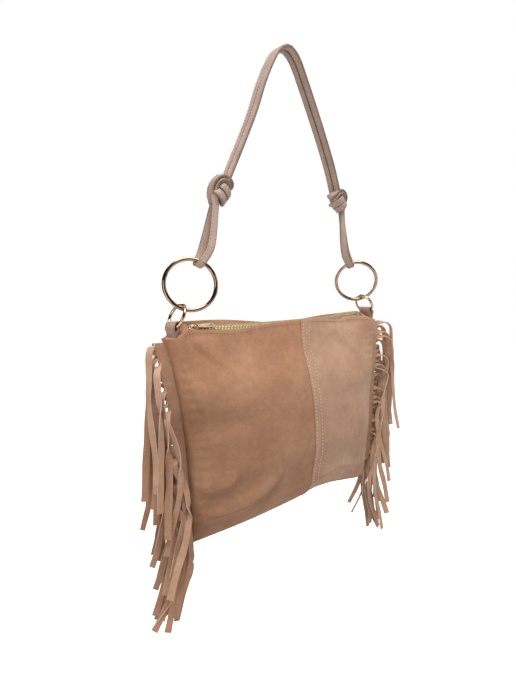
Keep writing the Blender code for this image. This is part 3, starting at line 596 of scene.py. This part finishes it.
cut_edge = brushed_suede("suede_cut_edge", tone(180, 150, 134), tone(194, 166, 150), tone(208, 182, 168))
flesh_side = brushed_suede("suede_flesh_side", tone(170, 131, 106), tone(186, 148, 122), tone(202, 166, 141))
suede_fringe = brushed_suede("suede_fringe", tone(160, 119, 93), tone(176, 135, 108), tone(192, 153, 127))
for side_name, side in (("left", -1), ("right", 1)):
    source, habit = (random.Random(seed) for seed in SEEDS[side])
    half = STRAND_THICKNESS / 2
    points, faces, picks = [], [], []

    def band_pair(z, out):
        edge = side * half_length(z)
        centre = Vector((BAG_MID_X + edge + side_bow(edge, z) + side * out, 0, z))
        points.append(centre + Vector((0, -half, 0)))
        points.append(centre + Vector((0, half, 0)))
        return len(points) - 2

    levels = []
    for number in range(COUNT):
        high = BAND_TOP_Z - number * STRAND_PITCH - (STRAND_PITCH - STRAND_WIDTH) / 2
        levels += [high, high - STRAND_WIDTH]
    inner = [band_pair(z, -SUEDE) for z in levels]
    outer = [band_pair(z, BAND_WIDTH + habit.uniform(*SHEAR_SLIP)) for z in levels]
    for i in range(len(levels) - 1):
        a, b, c, d = inner[i], inner[i + 1], outer[i + 1], outer[i]
        faces += [(a, b, c, d), (a + 1, d + 1, c + 1, b + 1), (a, a + 1, b + 1, b)]
        picks += [0, 1, 2]
        if i % 2:
            faces.append((c, c + 1, d + 1, d))
            picks.append(2)
    for i in (0, len(levels) - 1):
        faces.append((inner[i], inner[i] + 1, outer[i] + 1, outer[i]))
        picks.append(2)
    for number in range(COUNT):
        high, low = outer[2 * number], outer[2 * number + 1]
        loop = [high, low, low + 1, high + 1]
        root = (points[high] + points[low + 1]) / 2
        line, widths = strand_run(side, number, root, source, habit)
        wide = STRAND_WIDTH / 2 * habit.uniform(1.0, 1.3)
        before = (points[high] - points[low]).normalized()
        for i in range(1, len(line)):
            along = (line[min(i + 1, len(line) - 1)] - line[i - 1]).normalized()
            across = widths[i] - along * widths[i].dot(along)
            across.normalize()
            thick = along.cross(across).normalized()
            if i == 1:
                flip = 1.0 if across.dot(before) > 0 else -1.0
                facing = 1.0 if (thick * flip).y < 0 else -1.0
            w = across * flip * wide * (1.0 + 0.08 * sin(i * 0.9 + number * 2.0))
            t = thick * flip * facing * half
            first = len(points)
            points += [line[i] + w + t, line[i] - w + t, line[i] - w - t, line[i] + w - t]
            fresh = [first, first + 1, first + 2, first + 3]
            faces += [(loop[k - 1], loop[k], fresh[k], fresh[k - 1]) for k in (1, 2, 3, 0)]
            picks += [0, 2, 1, 2]
            loop = fresh
        faces.append(tuple(loop))
        picks.append(2)
    fringe = make_piece("fringe_strip_" + side_name, points, faces, [suede_fringe, flesh_side, cut_edge],
                        picks, 50.0)
    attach(fringe, "bag")
    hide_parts("fringe_" + side_name)


# Zip: two woven tapes sewn under the mouth's edges, each with a row of small metal teeth clamped
# to its bead. The zip is closed, and the teeth of the rows lie between each other.
ZIP_Y, ZIP_Z, ZIP_SLOPE = -0.0010, -0.3252, radians(45.0)
TAPE_HALF_WIDTH = 0.0060
TOOTH_PITCH = 0.0044
ZIP_SAG = ((-146, 0), (-128, -0.2), (-110, -1.6), (-90, -3), (-60, -3.8), (0, -4.5),
           (60, -4.2), (90, -3), (106, -1.2), (118, -0.2), (146, 0))


def zip_place(x=0.0):
    """The zip's own frame: X along the bag, Y across the tapes, Z out of the teeth."""
    return Matrix.Translation((BAG_MID_X + x, ZIP_Y, ZIP_Z)) @ Matrix.Rotation(ZIP_SLOPE, 4, "X")


def sag_of_zip(x):
    """The zip's sinking at a place along it, in the zip's own frame."""
    down = wave(x, ZIP_SAG)
    return Vector((0, down * sin(ZIP_SLOPE), down * cos(ZIP_SLOPE)))


def woven_tape(name):
    finish, tree, shader, place = start_finish(name)
    weft = add_node(tree, "TexWave", {"Vector": place, "Scale": 420.0})
    weft.bands_direction = "X"
    warp = grainy(tree, place, 500.0, 3.0)
    colour = ramp(tree, warp, (0.3, tone(140, 112, 72)), (0.7, tone(182, 154, 108)))
    colour = times(tree, colour, ramp(tree, weft.outputs["Fac"], (0.0, 0.8), (1.0, 1.0)), 0.7)
    settle(tree, shader, {"Base Color": colour, "Roughness": 0.75})
    bumped(tree, shader, (weft.outputs["Fac"], 0.5, 0.0002), (warp, 0.3, 0.0002))
    return finish


def pale_gold(name, roughness=0.11, colour=(0.84, 0.64, 0.42, 1.0)):
    """Thin polished gold plating, a little uneven, with fine hairlines from handling."""
    finish, tree, shader, place = start_finish(name)
    cloud = grainy(tree, place, 120.0, 3.0)
    dull = tuple(c * 0.88 for c in colour[:3]) + (1.0,)
    hairlines = grainy(tree, place, 1500.0, 4.0, 0.6, 2.0)
    settle(tree, shader, {"Base Color": ramp(tree, cloud, (0.35, dull), (0.65, colour)), "Metallic": 1.0,
                          "Roughness": ramp(tree, hairlines, (0.3, roughness * 0.8), (0.7, roughness * 1.6))})
    bumped(tree, shader, (hairlines, 0.03, 0.0001))
    return finish


tape_cloth = woven_tape("woven_tape")
tooth_gold = pale_gold("tooth_gold", 0.3, (0.92, 0.82, 0.62, 1.0))
for tape_name, side in (("front", -1), ("back", 1)):
    points, faces = [], []
    steps = 146
    outline = [(0.0007, -0.0003), (0.0007, 0.0003), (0.0024, 0.0004), (TAPE_HALF_WIDTH, 0.0003),
               (TAPE_HALF_WIDTH, -0.0003), (0.0024, -0.0004)]
    for i in range(steps + 1):
        x = mix(-ZIP_HALF_LENGTH, ZIP_HALF_LENGTH, i / steps)
        for y, z in outline:
            points.append(Vector((x, side * y, z)) + sag_of_zip(x))
    size = len(outline)
    for i in range(steps):
        faces += ring_faces(i * size, (i + 1) * size, size)
    faces += [cap(0, size), cap(steps * size, size)]
    tape = make_piece("tape_" + tape_name, points, faces, [tape_cloth])
    tape.matrix_world = zip_place()
    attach(tape, "bag")
    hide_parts("zip_tape_" + tape_name)

    points, faces = [], []
    count = int(2 * ZIP_HALF_LENGTH / TOOTH_PITCH)
    tooth = [(-0.0007, 0.0), (-0.0007, 0.0016), (-0.0011, 0.0021), (-0.0010, 0.0031),
             (0.0010, 0.0031), (0.0011, 0.0021), (0.0007, 0.0016), (0.0007, 0.0)]
    for n in range(count):
        x0 = -ZIP_HALF_LENGTH + (n + 0.5) * TOOTH_PITCH + (TOOTH_PITCH / 2 if side > 0 else 0.0)
        if x0 > ZIP_HALF_LENGTH - 0.0008:
            continue
        first = len(points)
        for z, shrink in ((-0.0009, 0.8), (-0.0006, 1.0), (0.0006, 1.0), (0.0009, 0.8)):
            for x, y in tooth:
                y_tooth = side * ((y - 0.0014) * mix(1, shrink, 0.4) + 0.0010)
                points.append(Vector((x0 + x * shrink, y_tooth, z)) + sag_of_zip(x0))
        size = len(tooth)
        for j in range(3):
            faces += ring_faces(first + j * size, first + (j + 1) * size, size)
        faces += [cap(first, size), cap(first + 3 * size, size)]
    teeth = make_piece("teeth_" + tape_name, points, faces, [tooth_gold], None, 30.0)
    teeth.matrix_world = zip_place()
    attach(teeth, "bag")
for name in ("zip_stop_left", "zip_stop_right"):
    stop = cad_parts[name]
    for n in range(len(stop.material_slots)):
        stop.material_slots[n].material = tooth_gold


# Slider and pull: cast in one pale gold metal. The slider's two plates hold the rows between
# them, and the flat pull hangs by its eye on the bridge over the top plate.
SLIDER_X = -0.1385
SLIDER_LENGTH, SLIDER_WIDTH, SLIDER_PLATE = 0.0110, 0.0078, 0.0010
PLATE_LOW = 0.0012
LOOP_HEIGHT = 0.0034
PULL_LENGTH, PULL_WIDTH, PULL_THICKNESS = 0.028, 0.0060, 0.0012


def flat_casting(name, outlines, thickness, edge, finish):
    """A flat plate with softened edges, filled between its outline and any holes."""
    drawing = bpy.data.curves.new(name, "CURVE")
    drawing.dimensions = "2D"
    drawing.fill_mode = "BOTH"
    drawing.extrude = thickness / 2 - edge
    drawing.bevel_depth = edge
    drawing.bevel_resolution = 3
    drawing.offset = -edge
    for outline in outlines:
        spline = drawing.splines.new("POLY")
        spline.points.add(len(outline) - 1)
        for point, (x, y) in zip(spline.points, outline):
            point.co = (x, y, 0, 1)
        spline.use_cyclic_u = True
    pattern = put_in(name + "_pattern", drawing)
    bpy.context.view_layer.update()
    mesh = bpy.data.meshes.new_from_object(pattern.evaluated_get(bpy.context.evaluated_depsgraph_get()))
    mesh.name = name
    bpy.data.objects.remove(pattern)
    bpy.data.curves.remove(drawing)
    mesh.materials.clear()
    mesh.materials.append(finish)
    return set_out(name, mesh, 35.0, 1e-6)


def oval(x, y, half_x, half_y, power=2.0, count=40):
    """A closed outline between an ellipse and a rounded box."""
    spots = []
    for i in range(count):
        c, s = cos(2 * pi * i / count), sin(2 * pi * i / count)
        spots.append((x + half_x * copysign(abs(c) ** (2 / power), c),
                      y + half_y * copysign(abs(s) ** (2 / power), s)))
    return spots


def swept(line, widths, section, name, finishes, picks_of=None, closed=False):
    """Carries a section along a line. Widths give the way its broad side lies at each point."""
    points, faces, picks = [], [], []
    last = None
    flipped = []
    for i, centre in enumerate(line):
        before = line[i - 1] if i or closed else line[0]
        after = line[(i + 1) % len(line)] if i + 1 < len(line) or closed else line[-1]
        along = (after - before).normalized()
        across = (widths[i] - along * widths[i].dot(along)).normalized()
        if last is not None and across.dot(last) < 0:
            across = -across
        last = across
        normal = along.cross(across)
        flipped.append(across)
        points += [centre + across * a + normal * b for a, b in section]
    size = len(section)
    swap = size // 2 if closed and flipped[0].dot(flipped[-1]) < 0 else 0
    for i in range(len(line) if closed else len(line) - 1):
        j = (i + 1) % len(line)
        faces += ring_faces(i * size, j * size, size, 0 if j else swap)
        picks += picks_of or [0] * size
    if not closed:
        faces += [cap(0, size), cap((len(line) - 1) * size, size)]
        picks += [0, 0]
    return make_piece(name, points, faces, finishes, picks, 50.0), flipped


slider_gold = pale_gold("slider_gold", 0.14)
half_x, half_y = SLIDER_LENGTH / 2, SLIDER_WIDTH / 2
shield = [(x, y * mix(0.72, 1.0, smooth((half_x - x) / SLIDER_LENGTH * 1.4)))
          for x, y in oval(0, 0, half_x, half_y, 4.0, 56)]
parts = []
for part, low in (("top", PLATE_LOW), ("bottom", -PLATE_LOW - SLIDER_PLATE)):
    plate = flat_casting("slider_" + part, [shield], SLIDER_PLATE, 0.0003, slider_gold)
    plate.data.transform(Matrix.Translation((0, 0, low + SLIDER_PLATE / 2)))
    parts.append(plate)
post = oval(-half_x + 0.0022, 0, 0.0016, 0.0004)
parts.append(flat_casting("slider_post", [post], 2 * PLATE_LOW + 0.0008, 0.0001, slider_gold))
bridge_line = []
for i in range(25):
    angle = pi * i / 24
    bridge_line.append(Vector((-cos(angle) * (half_x - 0.0016),
                               0, PLATE_LOW + SLIDER_PLATE * 0.6 + sin(angle) ** 0.55 * LOOP_HEIGHT)))
bar = [(0.0009 * cos(a * pi / 5), 0.00055 * sin(a * pi / 5)) for a in range(10)]
bridge, _ = swept(bridge_line, [Vector((0, 1, 0))] * 25, bar, "slider_bridge", [slider_gold])
parts.append(bridge)
slider = parts[0]
shape = bmesh.new()
for part in parts:
    shape.from_mesh(part.data)
shape.to_mesh(slider.data)
shape.free()
for part in parts[1:]:
    bpy.data.objects.remove(part)
slider.name = "slider"
slider.data.set_sharp_from_angle(angle=radians(35.0))
slider.matrix_world = zip_place(SLIDER_X)
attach(slider, "zip_slider_body")
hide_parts("zip_slider")

waist = [(x, y * mix(0.70, 1.0, smooth((x - 0.006) / 0.010)))
         for x, y in oval((PULL_LENGTH - 0.0006) / 2, 0, (PULL_LENGTH + 0.0006) / 2, PULL_WIDTH / 2, 5.0, 72)]
# The eye that hangs on the bridge, and the slot at the free end.
holes = [oval(0.0034, 0, 0.0027, 0.00125, 4.0, 32), oval(0.0232, 0, 0.0021, 0.0013, 2.4, 32)]
pull = flat_casting("pull", [waist, *holes], PULL_THICKNESS, 0.00025, slider_gold)
hinge_height = PLATE_LOW + SLIDER_PLATE + PULL_THICKNESS / 2 + 0.0003
pull.matrix_world = zip_place(SLIDER_X) @ Matrix.Translation((0, 0, hinge_height))
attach(pull, "zip_pull_body")
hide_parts("zip_pull")


# Rings: two large ones of thick wire carry the handle, and a smaller one hangs in each. All are
# bent from round wire, butted, soldered and plated in polished pale gold.
BIG_WIRE, BIG_INNER = 0.0045, 0.0525
SMALL_WIRE, SMALL_INNER = 0.0035, 0.025
BIG_LEAN, SMALL_LEAN = radians(29.0), radians(27.0)
SWIVEL = {-1: radians(26.0), 1: radians(48.0)}
BIG_RADIUS = (BIG_INNER + BIG_WIRE) / 2
SMALL_RADIUS = (SMALL_INNER + SMALL_WIRE) / 2
PLAY = 0.0003
LINK = BIG_RADIUS - (BIG_WIRE + SMALL_WIRE) / 2 - PLAY


def lean_up(side, lean):
    return Vector((-side * sin(lean), 0, cos(lean)))


def big_centre(side):
    out = TOP_HALF_LENGTH - 0.01133 - 2 * SMALL_RADIUS * sin(SMALL_LEAN) - LINK * sin(BIG_LEAN)
    return Vector((BAG_MID_X + side * out, 0, -0.2772))


def big_normal(side):
    across = Vector((cos(BIG_LEAN), 0, side * sin(BIG_LEAN)))
    return (Vector((0, 1, 0)) * cos(SWIVEL[side]) + across * sin(SWIVEL[side])).normalized()


def small_centre(side):
    return big_centre(side) - lean_up(side, BIG_LEAN) * LINK - lean_up(side, SMALL_LEAN) * SMALL_RADIUS


# The rings' plating is painted darker than the slider's same pale gold, the big ones much darker: painted
# dark reflections of the studio round them.
ring_gold = {"big": pale_gold("big_ring_gold_painted_dark_reflection", 0.085, (0.33, 0.225, 0.15, 1.0)),
             "small": pale_gold("small_ring_gold_painted_dark_reflection", 0.085, (0.58, 0.40, 0.26, 1.0))}
for side_name, side in (("left", -1), ("right", 1)):
    small_normal = Vector((cos(SMALL_LEAN), 0, side * sin(SMALL_LEAN)))
    for size_name, centre, normal, radius, wire in (
            ("big", big_centre(side), big_normal(side), BIG_RADIUS, BIG_WIRE),
            ("small", small_centre(side), small_normal, SMALL_RADIUS, SMALL_WIRE)):
        first = normal.cross(Vector((0, 0, 1))).normalized()
        second = normal.cross(first)
        turns = [2 * pi * i / 144 for i in range(144)]
        line = [centre + (first * cos(turn) + second * sin(turn)) * radius for turn in turns]
        section = [(wire / 2 * cos(pi * k / 10), wire / 2 * sin(pi * k / 10))
                   for k in range(20)]
        ring, _ = swept(line, [normal] * len(line), section, f"{size_name}_ring_wire_{side_name}",
                        [ring_gold[size_name]], None, True)
        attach(ring, f"{size_name}_ring_{side_name}_body")
        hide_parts(f"{size_name}_ring_{side_name}")


# Tabs: a strip of the handle's leather folded over each small ring, its two ends stitched
# together and sewn down into the top corner of the bag.
TAB_WIDTH, TAB_LEATHER, TAB_ROUNDING = 0.020, 0.0019, 0.0005
TAB_PLAY, TAB_SUNK, NECK_DROP, STITCH_INSET = 0.0004, 0.007, 0.0026, 0.0022


def smooth_leather(name, dark, light, roughness=0.5):
    """Finished taupe leather: a tight pebble grain, faint creases and a soft dull shine."""
    finish, tree, shader, place = start_finish(name)
    cloud = grainy(tree, place, 45.0, 5.0, 0.6, 0.4)
    colour = ramp(tree, cloud, (0.3, dark), (0.7, light))
    grain = add_node(tree, "TexVoronoi", {"Vector": place, "Scale": 950.0}).outputs["Distance"]
    colour = times(tree, colour, ramp(tree, grain, (0.0, 1.02), (0.9, 0.94)), 0.35)
    gloss = ramp(tree, cloud, (0.3, roughness * 0.85), (0.7, roughness * 1.2))
    settle(tree, shader, {"Base Color": colour, "Roughness": gloss, "Specular IOR Level": 0.38})
    bumped(tree, shader, (cloud, 0.2, 0.0008), (grain, -0.12, 0.0001))
    return finish


taupe = smooth_leather("taupe_leather", tone(160, 135, 121), tone(180, 155, 141))
tab_taupe = smooth_leather("tab_leather", tone(157, 127, 110), tone(178, 148, 129))
taupe_edge = smooth_leather("taupe_edge", tone(122, 99, 87), tone(142, 118, 105), 0.42)
taupe_thread = sewing_thread("taupe_thread", tone(186, 156, 138))
for side_name, side in (("left", -1), ("right", 1)):
    up = lean_up(side, SMALL_LEAN)
    out = Vector((up.z, 0, -up.x))
    low_wire = small_centre(side) - up * SMALL_RADIUS
    climb = SMALL_RADIUS - sqrt((SMALL_INNER / 2) ** 2 - (TAB_WIDTH / 2) ** 2) - SMALL_WIRE / 2
    bore = SMALL_WIRE / 2 + TAB_PLAY + TAB_LEATHER / 2
    foot = SHOULDER_Z - TAB_SUNK
    leg = TAB_LEATHER / 2 + 0.00006
    neck = low_wire.z - bore - NECK_DROP
    climbing = [(leg, foot), (leg, mix(foot, neck, 0.6)), (leg * 1.05, neck)]
    spots = [Vector((low_wire.x - aside, 0, z)) for aside, z in climbing]
    spots.append(low_wire - out * bore * 0.92 - up * bore * 0.15)
    for i in range(7):
        angle = pi - pi * i / 6
        spots.append(low_wire + up * climb + (out * cos(angle) + up * sin(angle)) * bore)
    spots.append(low_wire + out * bore * 0.92 - up * bore * 0.15)
    spots += [Vector((low_wire.x + aside, 0, z)) for aside, z in climbing[::-1]]
    line = through(spots, 5)
    w, t, r = TAB_WIDTH / 2, TAB_LEATHER / 2, TAB_ROUNDING
    section = [(-w, -t + r), (-w + r, -t), (-w * 0.5, -t), (0, -t), (w * 0.5, -t), (w - r, -t), (w, -t + r),
               (w, t - r), (w - r, t), (w * 0.5, t), (0, t), (-w * 0.5, t), (-w + r, t), (-w, t - r)]
    picks_of = [1, 0, 0, 0, 0, 1, 1, 1, 0, 0, 0, 0, 1, 1]
    tab, _ = swept(line, [Vector((0, 1, 0))] * len(line), section, "tab_leather_" + side_name,
                   [tab_taupe, taupe_edge], picks_of)
    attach(tab, "bag")
    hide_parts("tab_" + side_name)
    points, faces = [], []
    for face in (-1, 1):
        for y in (-w + STITCH_INSET, w - STITCH_INSET):
            path = [Vector((low_wire.x + face * (leg + t), y, mix(SHOULDER_Z - 0.002, neck - 0.0008, i / 20)))
                    for i in range(21)]
            stitch_row(path, [Vector((face, 0, 0))] * 21, points, faces)
        path = [Vector((low_wire.x + face * (leg + t), mix(-w + 0.002, w - 0.002, i / 20), neck - 0.0012))
                for i in range(21)]
        stitch_row(path, [Vector((face, 0, 0))] * 21, points, faces)
    tab_stitches = make_piece("tab_stitches_" + side_name, points, faces, [taupe_thread])
    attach(tab_stitches, "bag")


# Handle: one long loop of folded and stitched taupe leather strap. It runs under the wire of both
# big rings, and its two strands are tied together in an overhand knot above each ring.
STRAP_WIDTH, STRAP_THICKNESS = 0.0095, 0.0040
STRAP_ROUNDING = 0.0018
# The handle's stitches: length, gap and thickness, how deep they lie, and their rows' place across.
STRAP_STITCH = (0.0027, 0.0016, 0.00036)
STITCH_SUNK, ROW_ACROSS = 0.00012, 0.27
CROWN = ((0.0012, 0.0), (0.0050, 0.0007))
LEG_ASIDE = {-1: 0.0046, 1: -0.0024}
KNOT = {-1: (0.0299, 0.0783, radians(29.4), 0.036), 1: (0.0250, 0.0843, radians(26.8), 0.031)}
HANG = {-1: ((0.196, 0.054), (0.402, 0.265), (0.611, 0.555)),
        1: ((0.190, 0.055), (0.379, 0.242), (0.642, 0.527), (0.874, 0.804))}
STRANDS_APART = 0.0049
KNOT_HALF = 0.018
LEG_SPREAD = 0.0024
LEG_LIE = {-1: 0.15, 1: 0.0}
FOOT_ASIDE = {-1: -0.0004, 1: -0.0017}
# Down through a knot, in millimetres: the middle of both strands (right, up, front), how far the
# front strand lies from it, and the way its width lies.
KNOT_RUN = (
    ((0, 18, 0), (0, 0, 4.9), (0, 0, 1)), ((0, 11, -1), (0, 0, 4.5), (0, 0, 1)),
    ((1, 2, -2.5), (-0.5, 0, 3.5), (-0.1, 0, 1)), ((5, -4, -4.5), (-1, -1.5, 2.5), (-0.3, -0.4, 0.85)),
    ((10, -5.8, 0), (-1.2, -4.4, 0.6), (-0.2, -0.95, 0.18)),
    ((6, -4.6, 6), (-1.2, -4.6, 0.3), (-0.24, -0.96, 0.1)), ((0, -3, 8), (-1.2, -4.6, 0), (-0.24, -0.97, 0)),
    ((-5, -1.2, 5.4), (-1.1, -4.4, -0.4), (-0.24, -0.97, 0)),
    ((-7.4, 0.6, -1), (-0.6, -4.2, 0), (-0.1, -0.98, 0)), ((-2, 2, -7), (0, -4.6, 0), (0.1, -1, 0)),
    ((5, 5, -6.5), (0, -4.4, 0.5), (0, -1, 0.1)), ((9, 9, -0.5), (-1.2, -2.8, 1.4), (-0.1, -0.75, 0.65)),
    ((5, 12, 4), (-0.9, -2.2, 0.4), (-0.1, -0.3, 0.95)), ((-2, 13.2, 5), (0.2, -2.3, 0.3), (0, -0.15, 1)),
    ((-8.6, 9.4, 4.4), (1.6, -1.6, 0.3), (0.15, -0.1, 0.98)), ((-11.2, 1, 3), (2.2, 0, 0.4), (0.2, 0, 0.98)),
    ((-8.6, -8, 1), (1.8, 0.4, 1.4), (0.55, 0, 0.84)), ((-3.4, -14.5, 0), (0.4, 0, 2.4), (0.9, 0, 0.4)))


def wire_top(side):
    return big_centre(side) + lean_up(side, BIG_LEAN) * BIG_RADIUS


def knot_frame(side):
    """The middle of a knot, and its right, up and front directions, for a knot 36 mm long."""
    aside, over, lean, length = KNOT[side]
    middle = wire_top(side) + Vector((-side * aside, 0, over))
    up = lean_up(side, lean)
    return middle, Vector((up.z, 0, -up.x)) * -side, up * (length / (2 * KNOT_HALF)), Vector((0, -1, 0))


def leg_foot(side, strand):
    """Where a strand leaves the knot for the ring. strand is 1 for the front one."""
    middle, _, up, front = knot_frame(side)
    return middle - up * KNOT_HALF + (front * LEG_SPREAD + Vector((FOOT_ASIDE[side], 0, 0))) * strand


def foot_width(side):
    _, to_right, _, front = knot_frame(side)
    return to_right.lerp(front, LEG_LIE[side]).normalized()


def strand_from_top(side, strand):
    """One strand from the handle's seat down through the knot. strand is 1 for the front one."""
    middle, to_right, up, front = knot_frame(side)
    top = middle + up * KNOT_HALF
    height = STRAP_THICKNESS / 2
    lines = [Vector((side * out, 0, height - down)) for out, down in CROWN]
    lines += [Vector((top.x * out, 0, top.z * down)) for out, down in HANG[side]]
    lines = [p + front * strand * STRANDS_APART for p in lines]
    widths = [Vector(front) for _ in lines]
    for centre, offset, lie in KNOT_RUN:
        spot = [c + strand * o for c, o in zip(centre, offset)]
        lines.append(middle + (to_right * spot[0] + up * spot[1] + front * spot[2]) * 0.001)
        widths.append((to_right * lie[0] + up * lie[1] + front * lie[2]).normalized())
    lines.append(leg_foot(side, strand))
    widths.append(foot_width(side))
    return through(lines, 6), through(widths, 6)


def leg_loop(side):
    """From the front strand at the foot of a knot, round under the ring's wire, to the back one."""
    middle, to_right, knot_up, front = knot_frame(side)
    up = lean_up(side, BIG_LEAN)
    through_ring = big_normal(side)
    tangent = through_ring.cross(up).normalized()
    wire = wire_top(side)
    hug = BIG_WIRE / 2 + PLAY + STRAP_THICKNESS / 2
    bottom = middle - knot_up * KNOT_HALF
    rise = (bottom - wire).length
    over_wire = wire + up * rise * 0.30
    beside = through_ring * (hug + 0.0022)
    bend = [wire + (through_ring * -cos(pi * i / 8) - up * sin(pi * i / 8)) * hug for i in range(9)]
    aside = Vector((LEG_ASIDE[side], 0, 0))
    bend = [spot + aside * 0.7 * cos(pi * i / 8) for i, spot in enumerate(bend)]
    spots = [leg_foot(side, 1), over_wire - beside + aside, *bend, over_wire + beside - aside,
             leg_foot(side, -1)]
    line = through(spots, 5)
    widths = []
    for point in line:
        share = smooth((point - wire).dot(up) / rise)
        lie = tangent if tangent.dot(to_right) > 0 else -tangent
        widths.append(lie.lerp(foot_width(side), share).normalized())
    return line[1:-1], widths[1:-1]


loop_line, loop_widths = [], []
for side, strand, backwards in ((-1, 1, False), (-1, 0, False), (-1, -1, True),
                                (1, -1, False), (1, 0, True), (1, 1, True)):
    line, widths = strand_from_top(side, strand) if strand else leg_loop(side)
    if backwards:
        line, widths = line[::-1], widths[::-1]
    loop_line += line
    loop_widths += widths
w, t, r = STRAP_WIDTH / 2 - 0.0002, STRAP_THICKNESS / 2, STRAP_ROUNDING
corner = [(sin(radians(a)), cos(radians(a))) for a in (0, 30, 60, 90)]
quarter = [(0.0, t + 0.0002), (w * 0.36, t + 0.0001)] + [(w - r + r * s, t - r + r * c) for s, c in corner]
quarter.append((w, 0.0002))
under = [(a, -b) for a, b in quarter[::-1]][:-1]
half_section = quarter + [(w - 0.00025, 0.0)] + under
section = half_section + [(-a, -b) for a, b in half_section]
picks_of = [1 if min(abs(section[k][0]), abs(section[(k + 1) % len(section)][0])) > w - r * 0.55 else 0
            for k in range(len(section))]
strap, sides_of_strap = swept(loop_line, loop_widths, section, "handle_loop", [taupe, taupe_edge],
                              picks_of, True)
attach(strap, "handle")
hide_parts("handle_strap")

points, faces = [], []
for aside in (-1, 1):
    for face in (-1, 1):
        path, normals = [], []
        for i in range(len(loop_line)):
            along = (loop_line[(i + 1) % len(loop_line)] - loop_line[i - 1]).normalized()
            normal = along.cross(sides_of_strap[i]).normalized() * face
            path.append(loop_line[i] + sides_of_strap[i] * aside * STRAP_WIDTH * ROW_ACROSS
                        + normal * (STRAP_THICKNESS / 2 - STITCH_SUNK))
            normals.append(normal)
        stitch_row(path, normals, points, faces, *STRAP_STITCH)
strap_stitches = make_piece("handle_stitches", points, faces, [taupe_thread])
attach(strap_stitches, "handle")


# Studio: a pale floor and a white surround. Dark boards stand close together round the bag, with
# one above and one below it, and only the polished metal shows them.
FLOOR_Z, FLOOR_REACH = -0.95, 60
FLOOR_SHADE, FLOOR_GLOW, WORLD_LEVEL = 0.60, 0.74, 0.44
BOARD_COUNT, BOARD_DISTANCE, BOARD_HEIGHT = 8, 2.8, 0.6
BOARD_SIZE = (2.16, 4.0)


def seen_directly(tree):
    """1 for rays that show the backdrop itself: to the camera, off metal or through glass."""
    seen = tree.nodes.new("ShaderNodeLightPath").outputs
    shown = seen["Is Camera Ray"]
    for ray in ("Is Glossy Ray", "Is Transmission Ray"):
        most = add_node(tree, "Math", {0: shown, 1: seen[ray]})
        most.operation = "MAXIMUM"
        shown = most.outputs[0]
    return shown


def backdrop_finish(name, shade, glow):
    finish, tree, shader, _ = start_finish(name)
    tree.nodes.remove(shader)
    paper = add_node(tree, "BsdfDiffuse", {"Color": grey(shade)})
    light = add_node(tree, "Emission", {"Strength": glow})
    none = add_node(tree, "Emission", {"Strength": 0.0})
    pick = add_node(tree, "MixShader", {0: seen_directly(tree), 1: none.outputs[0], 2: light.outputs[0]})
    total = add_node(tree, "AddShader", {0: paper.outputs[0], 1: pick.outputs[0]})
    settle(tree, tree.nodes["Material Output"], {"Surface": total.outputs[0]})
    return finish


floor_paper = backdrop_finish("floor_paper", FLOOR_SHADE, FLOOR_GLOW)
corners = [Vector((x * FLOOR_REACH, y * FLOOR_REACH, FLOOR_Z))
           for x, y in ((-1, -1), (1, -1), (1, 1), (-1, 1))]
floor = make_piece("floor", corners, [(0, 1, 2, 3)], [floor_paper])


def dark_board(name, centre, width, height):
    """A matt board turned to face the bag."""
    facing = (Vector((0, 0, -0.3)) - centre).normalized()
    aside = facing.cross(Vector((0, 0, 1))).normalized() * width / 2
    up = aside.normalized().cross(facing).normalized() * height / 2
    corners = [centre - aside - up, centre + aside - up, centre + aside + up, centre - aside + up]
    board = make_piece(name, corners, [(0, 1, 2, 3)], [dark_paint])
    board.visible_camera = board.visible_diffuse = board.visible_shadow = board.visible_transmission = False


dark_paint, tree, shader, _ = start_finish("dark_paint")
settle(tree, shader, {"Base Color": (0.11, 0.075, 0.055, 1.0), "Roughness": 1.0})
for number in range(BOARD_COUNT):
    angle = radians(360.0 / BOARD_COUNT * number + 14.0)
    spot = Vector((cos(angle) * BOARD_DISTANCE, sin(angle) * BOARD_DISTANCE, BOARD_HEIGHT))
    dark_board(f"board_{number}", spot, *BOARD_SIZE)
dark_board("board_above", Vector((-0.9, -1.2, 2.5)), 3.0, 2.4)
dark_board("board_low", Vector((-0.9, -1.4, -0.90)), 2.6, 1.6)

world = bpy.data.worlds.new("studio")
bpy.context.scene.world = world
world.use_nodes = True
tree = world.node_tree
level_of = add_node(tree, "MapRange", {"Value": seen_directly(tree), "To Min": WORLD_LEVEL, "To Max": 1.0})
settle(tree, tree.nodes["Background"], {"Color": grey(1.0), "Strength": level_of.outputs["Result"]})


def soft_lamp(name, spot, target, size, watts):
    data = bpy.data.lights.new(name, "AREA")
    data.shape = "RECTANGLE"
    data.size, data.size_y = size
    data.energy = watts
    lamp = put_in(name, data)
    lamp.location = spot
    lamp.rotation_mode = "QUATERNION"
    lamp.rotation_quaternion = (Vector(target) - Vector(spot)).to_track_quat("-Z", "Y")


soft_lamp("key_lamp", (-0.25, -0.62, 1.40), (0, 0, -0.35), (1.2, 0.8), 36.0)
soft_lamp("side_lamp", (-1.5, -0.7, -0.1), (0, 0, -0.3), (0.5, 1.2), 8.0)
soft_lamp("fill_lamp", (1.6, -1.0, 0.2), (0, 0, -0.4), (0.5, 1.2), 8.0)
soft_lamp("back_lamp", (0.4, 1.8, 0.6), (0, 0, -0.35), (1.2, 1.0), 22.0)
bpy.context.scene.view_settings.view_transform = "Standard"
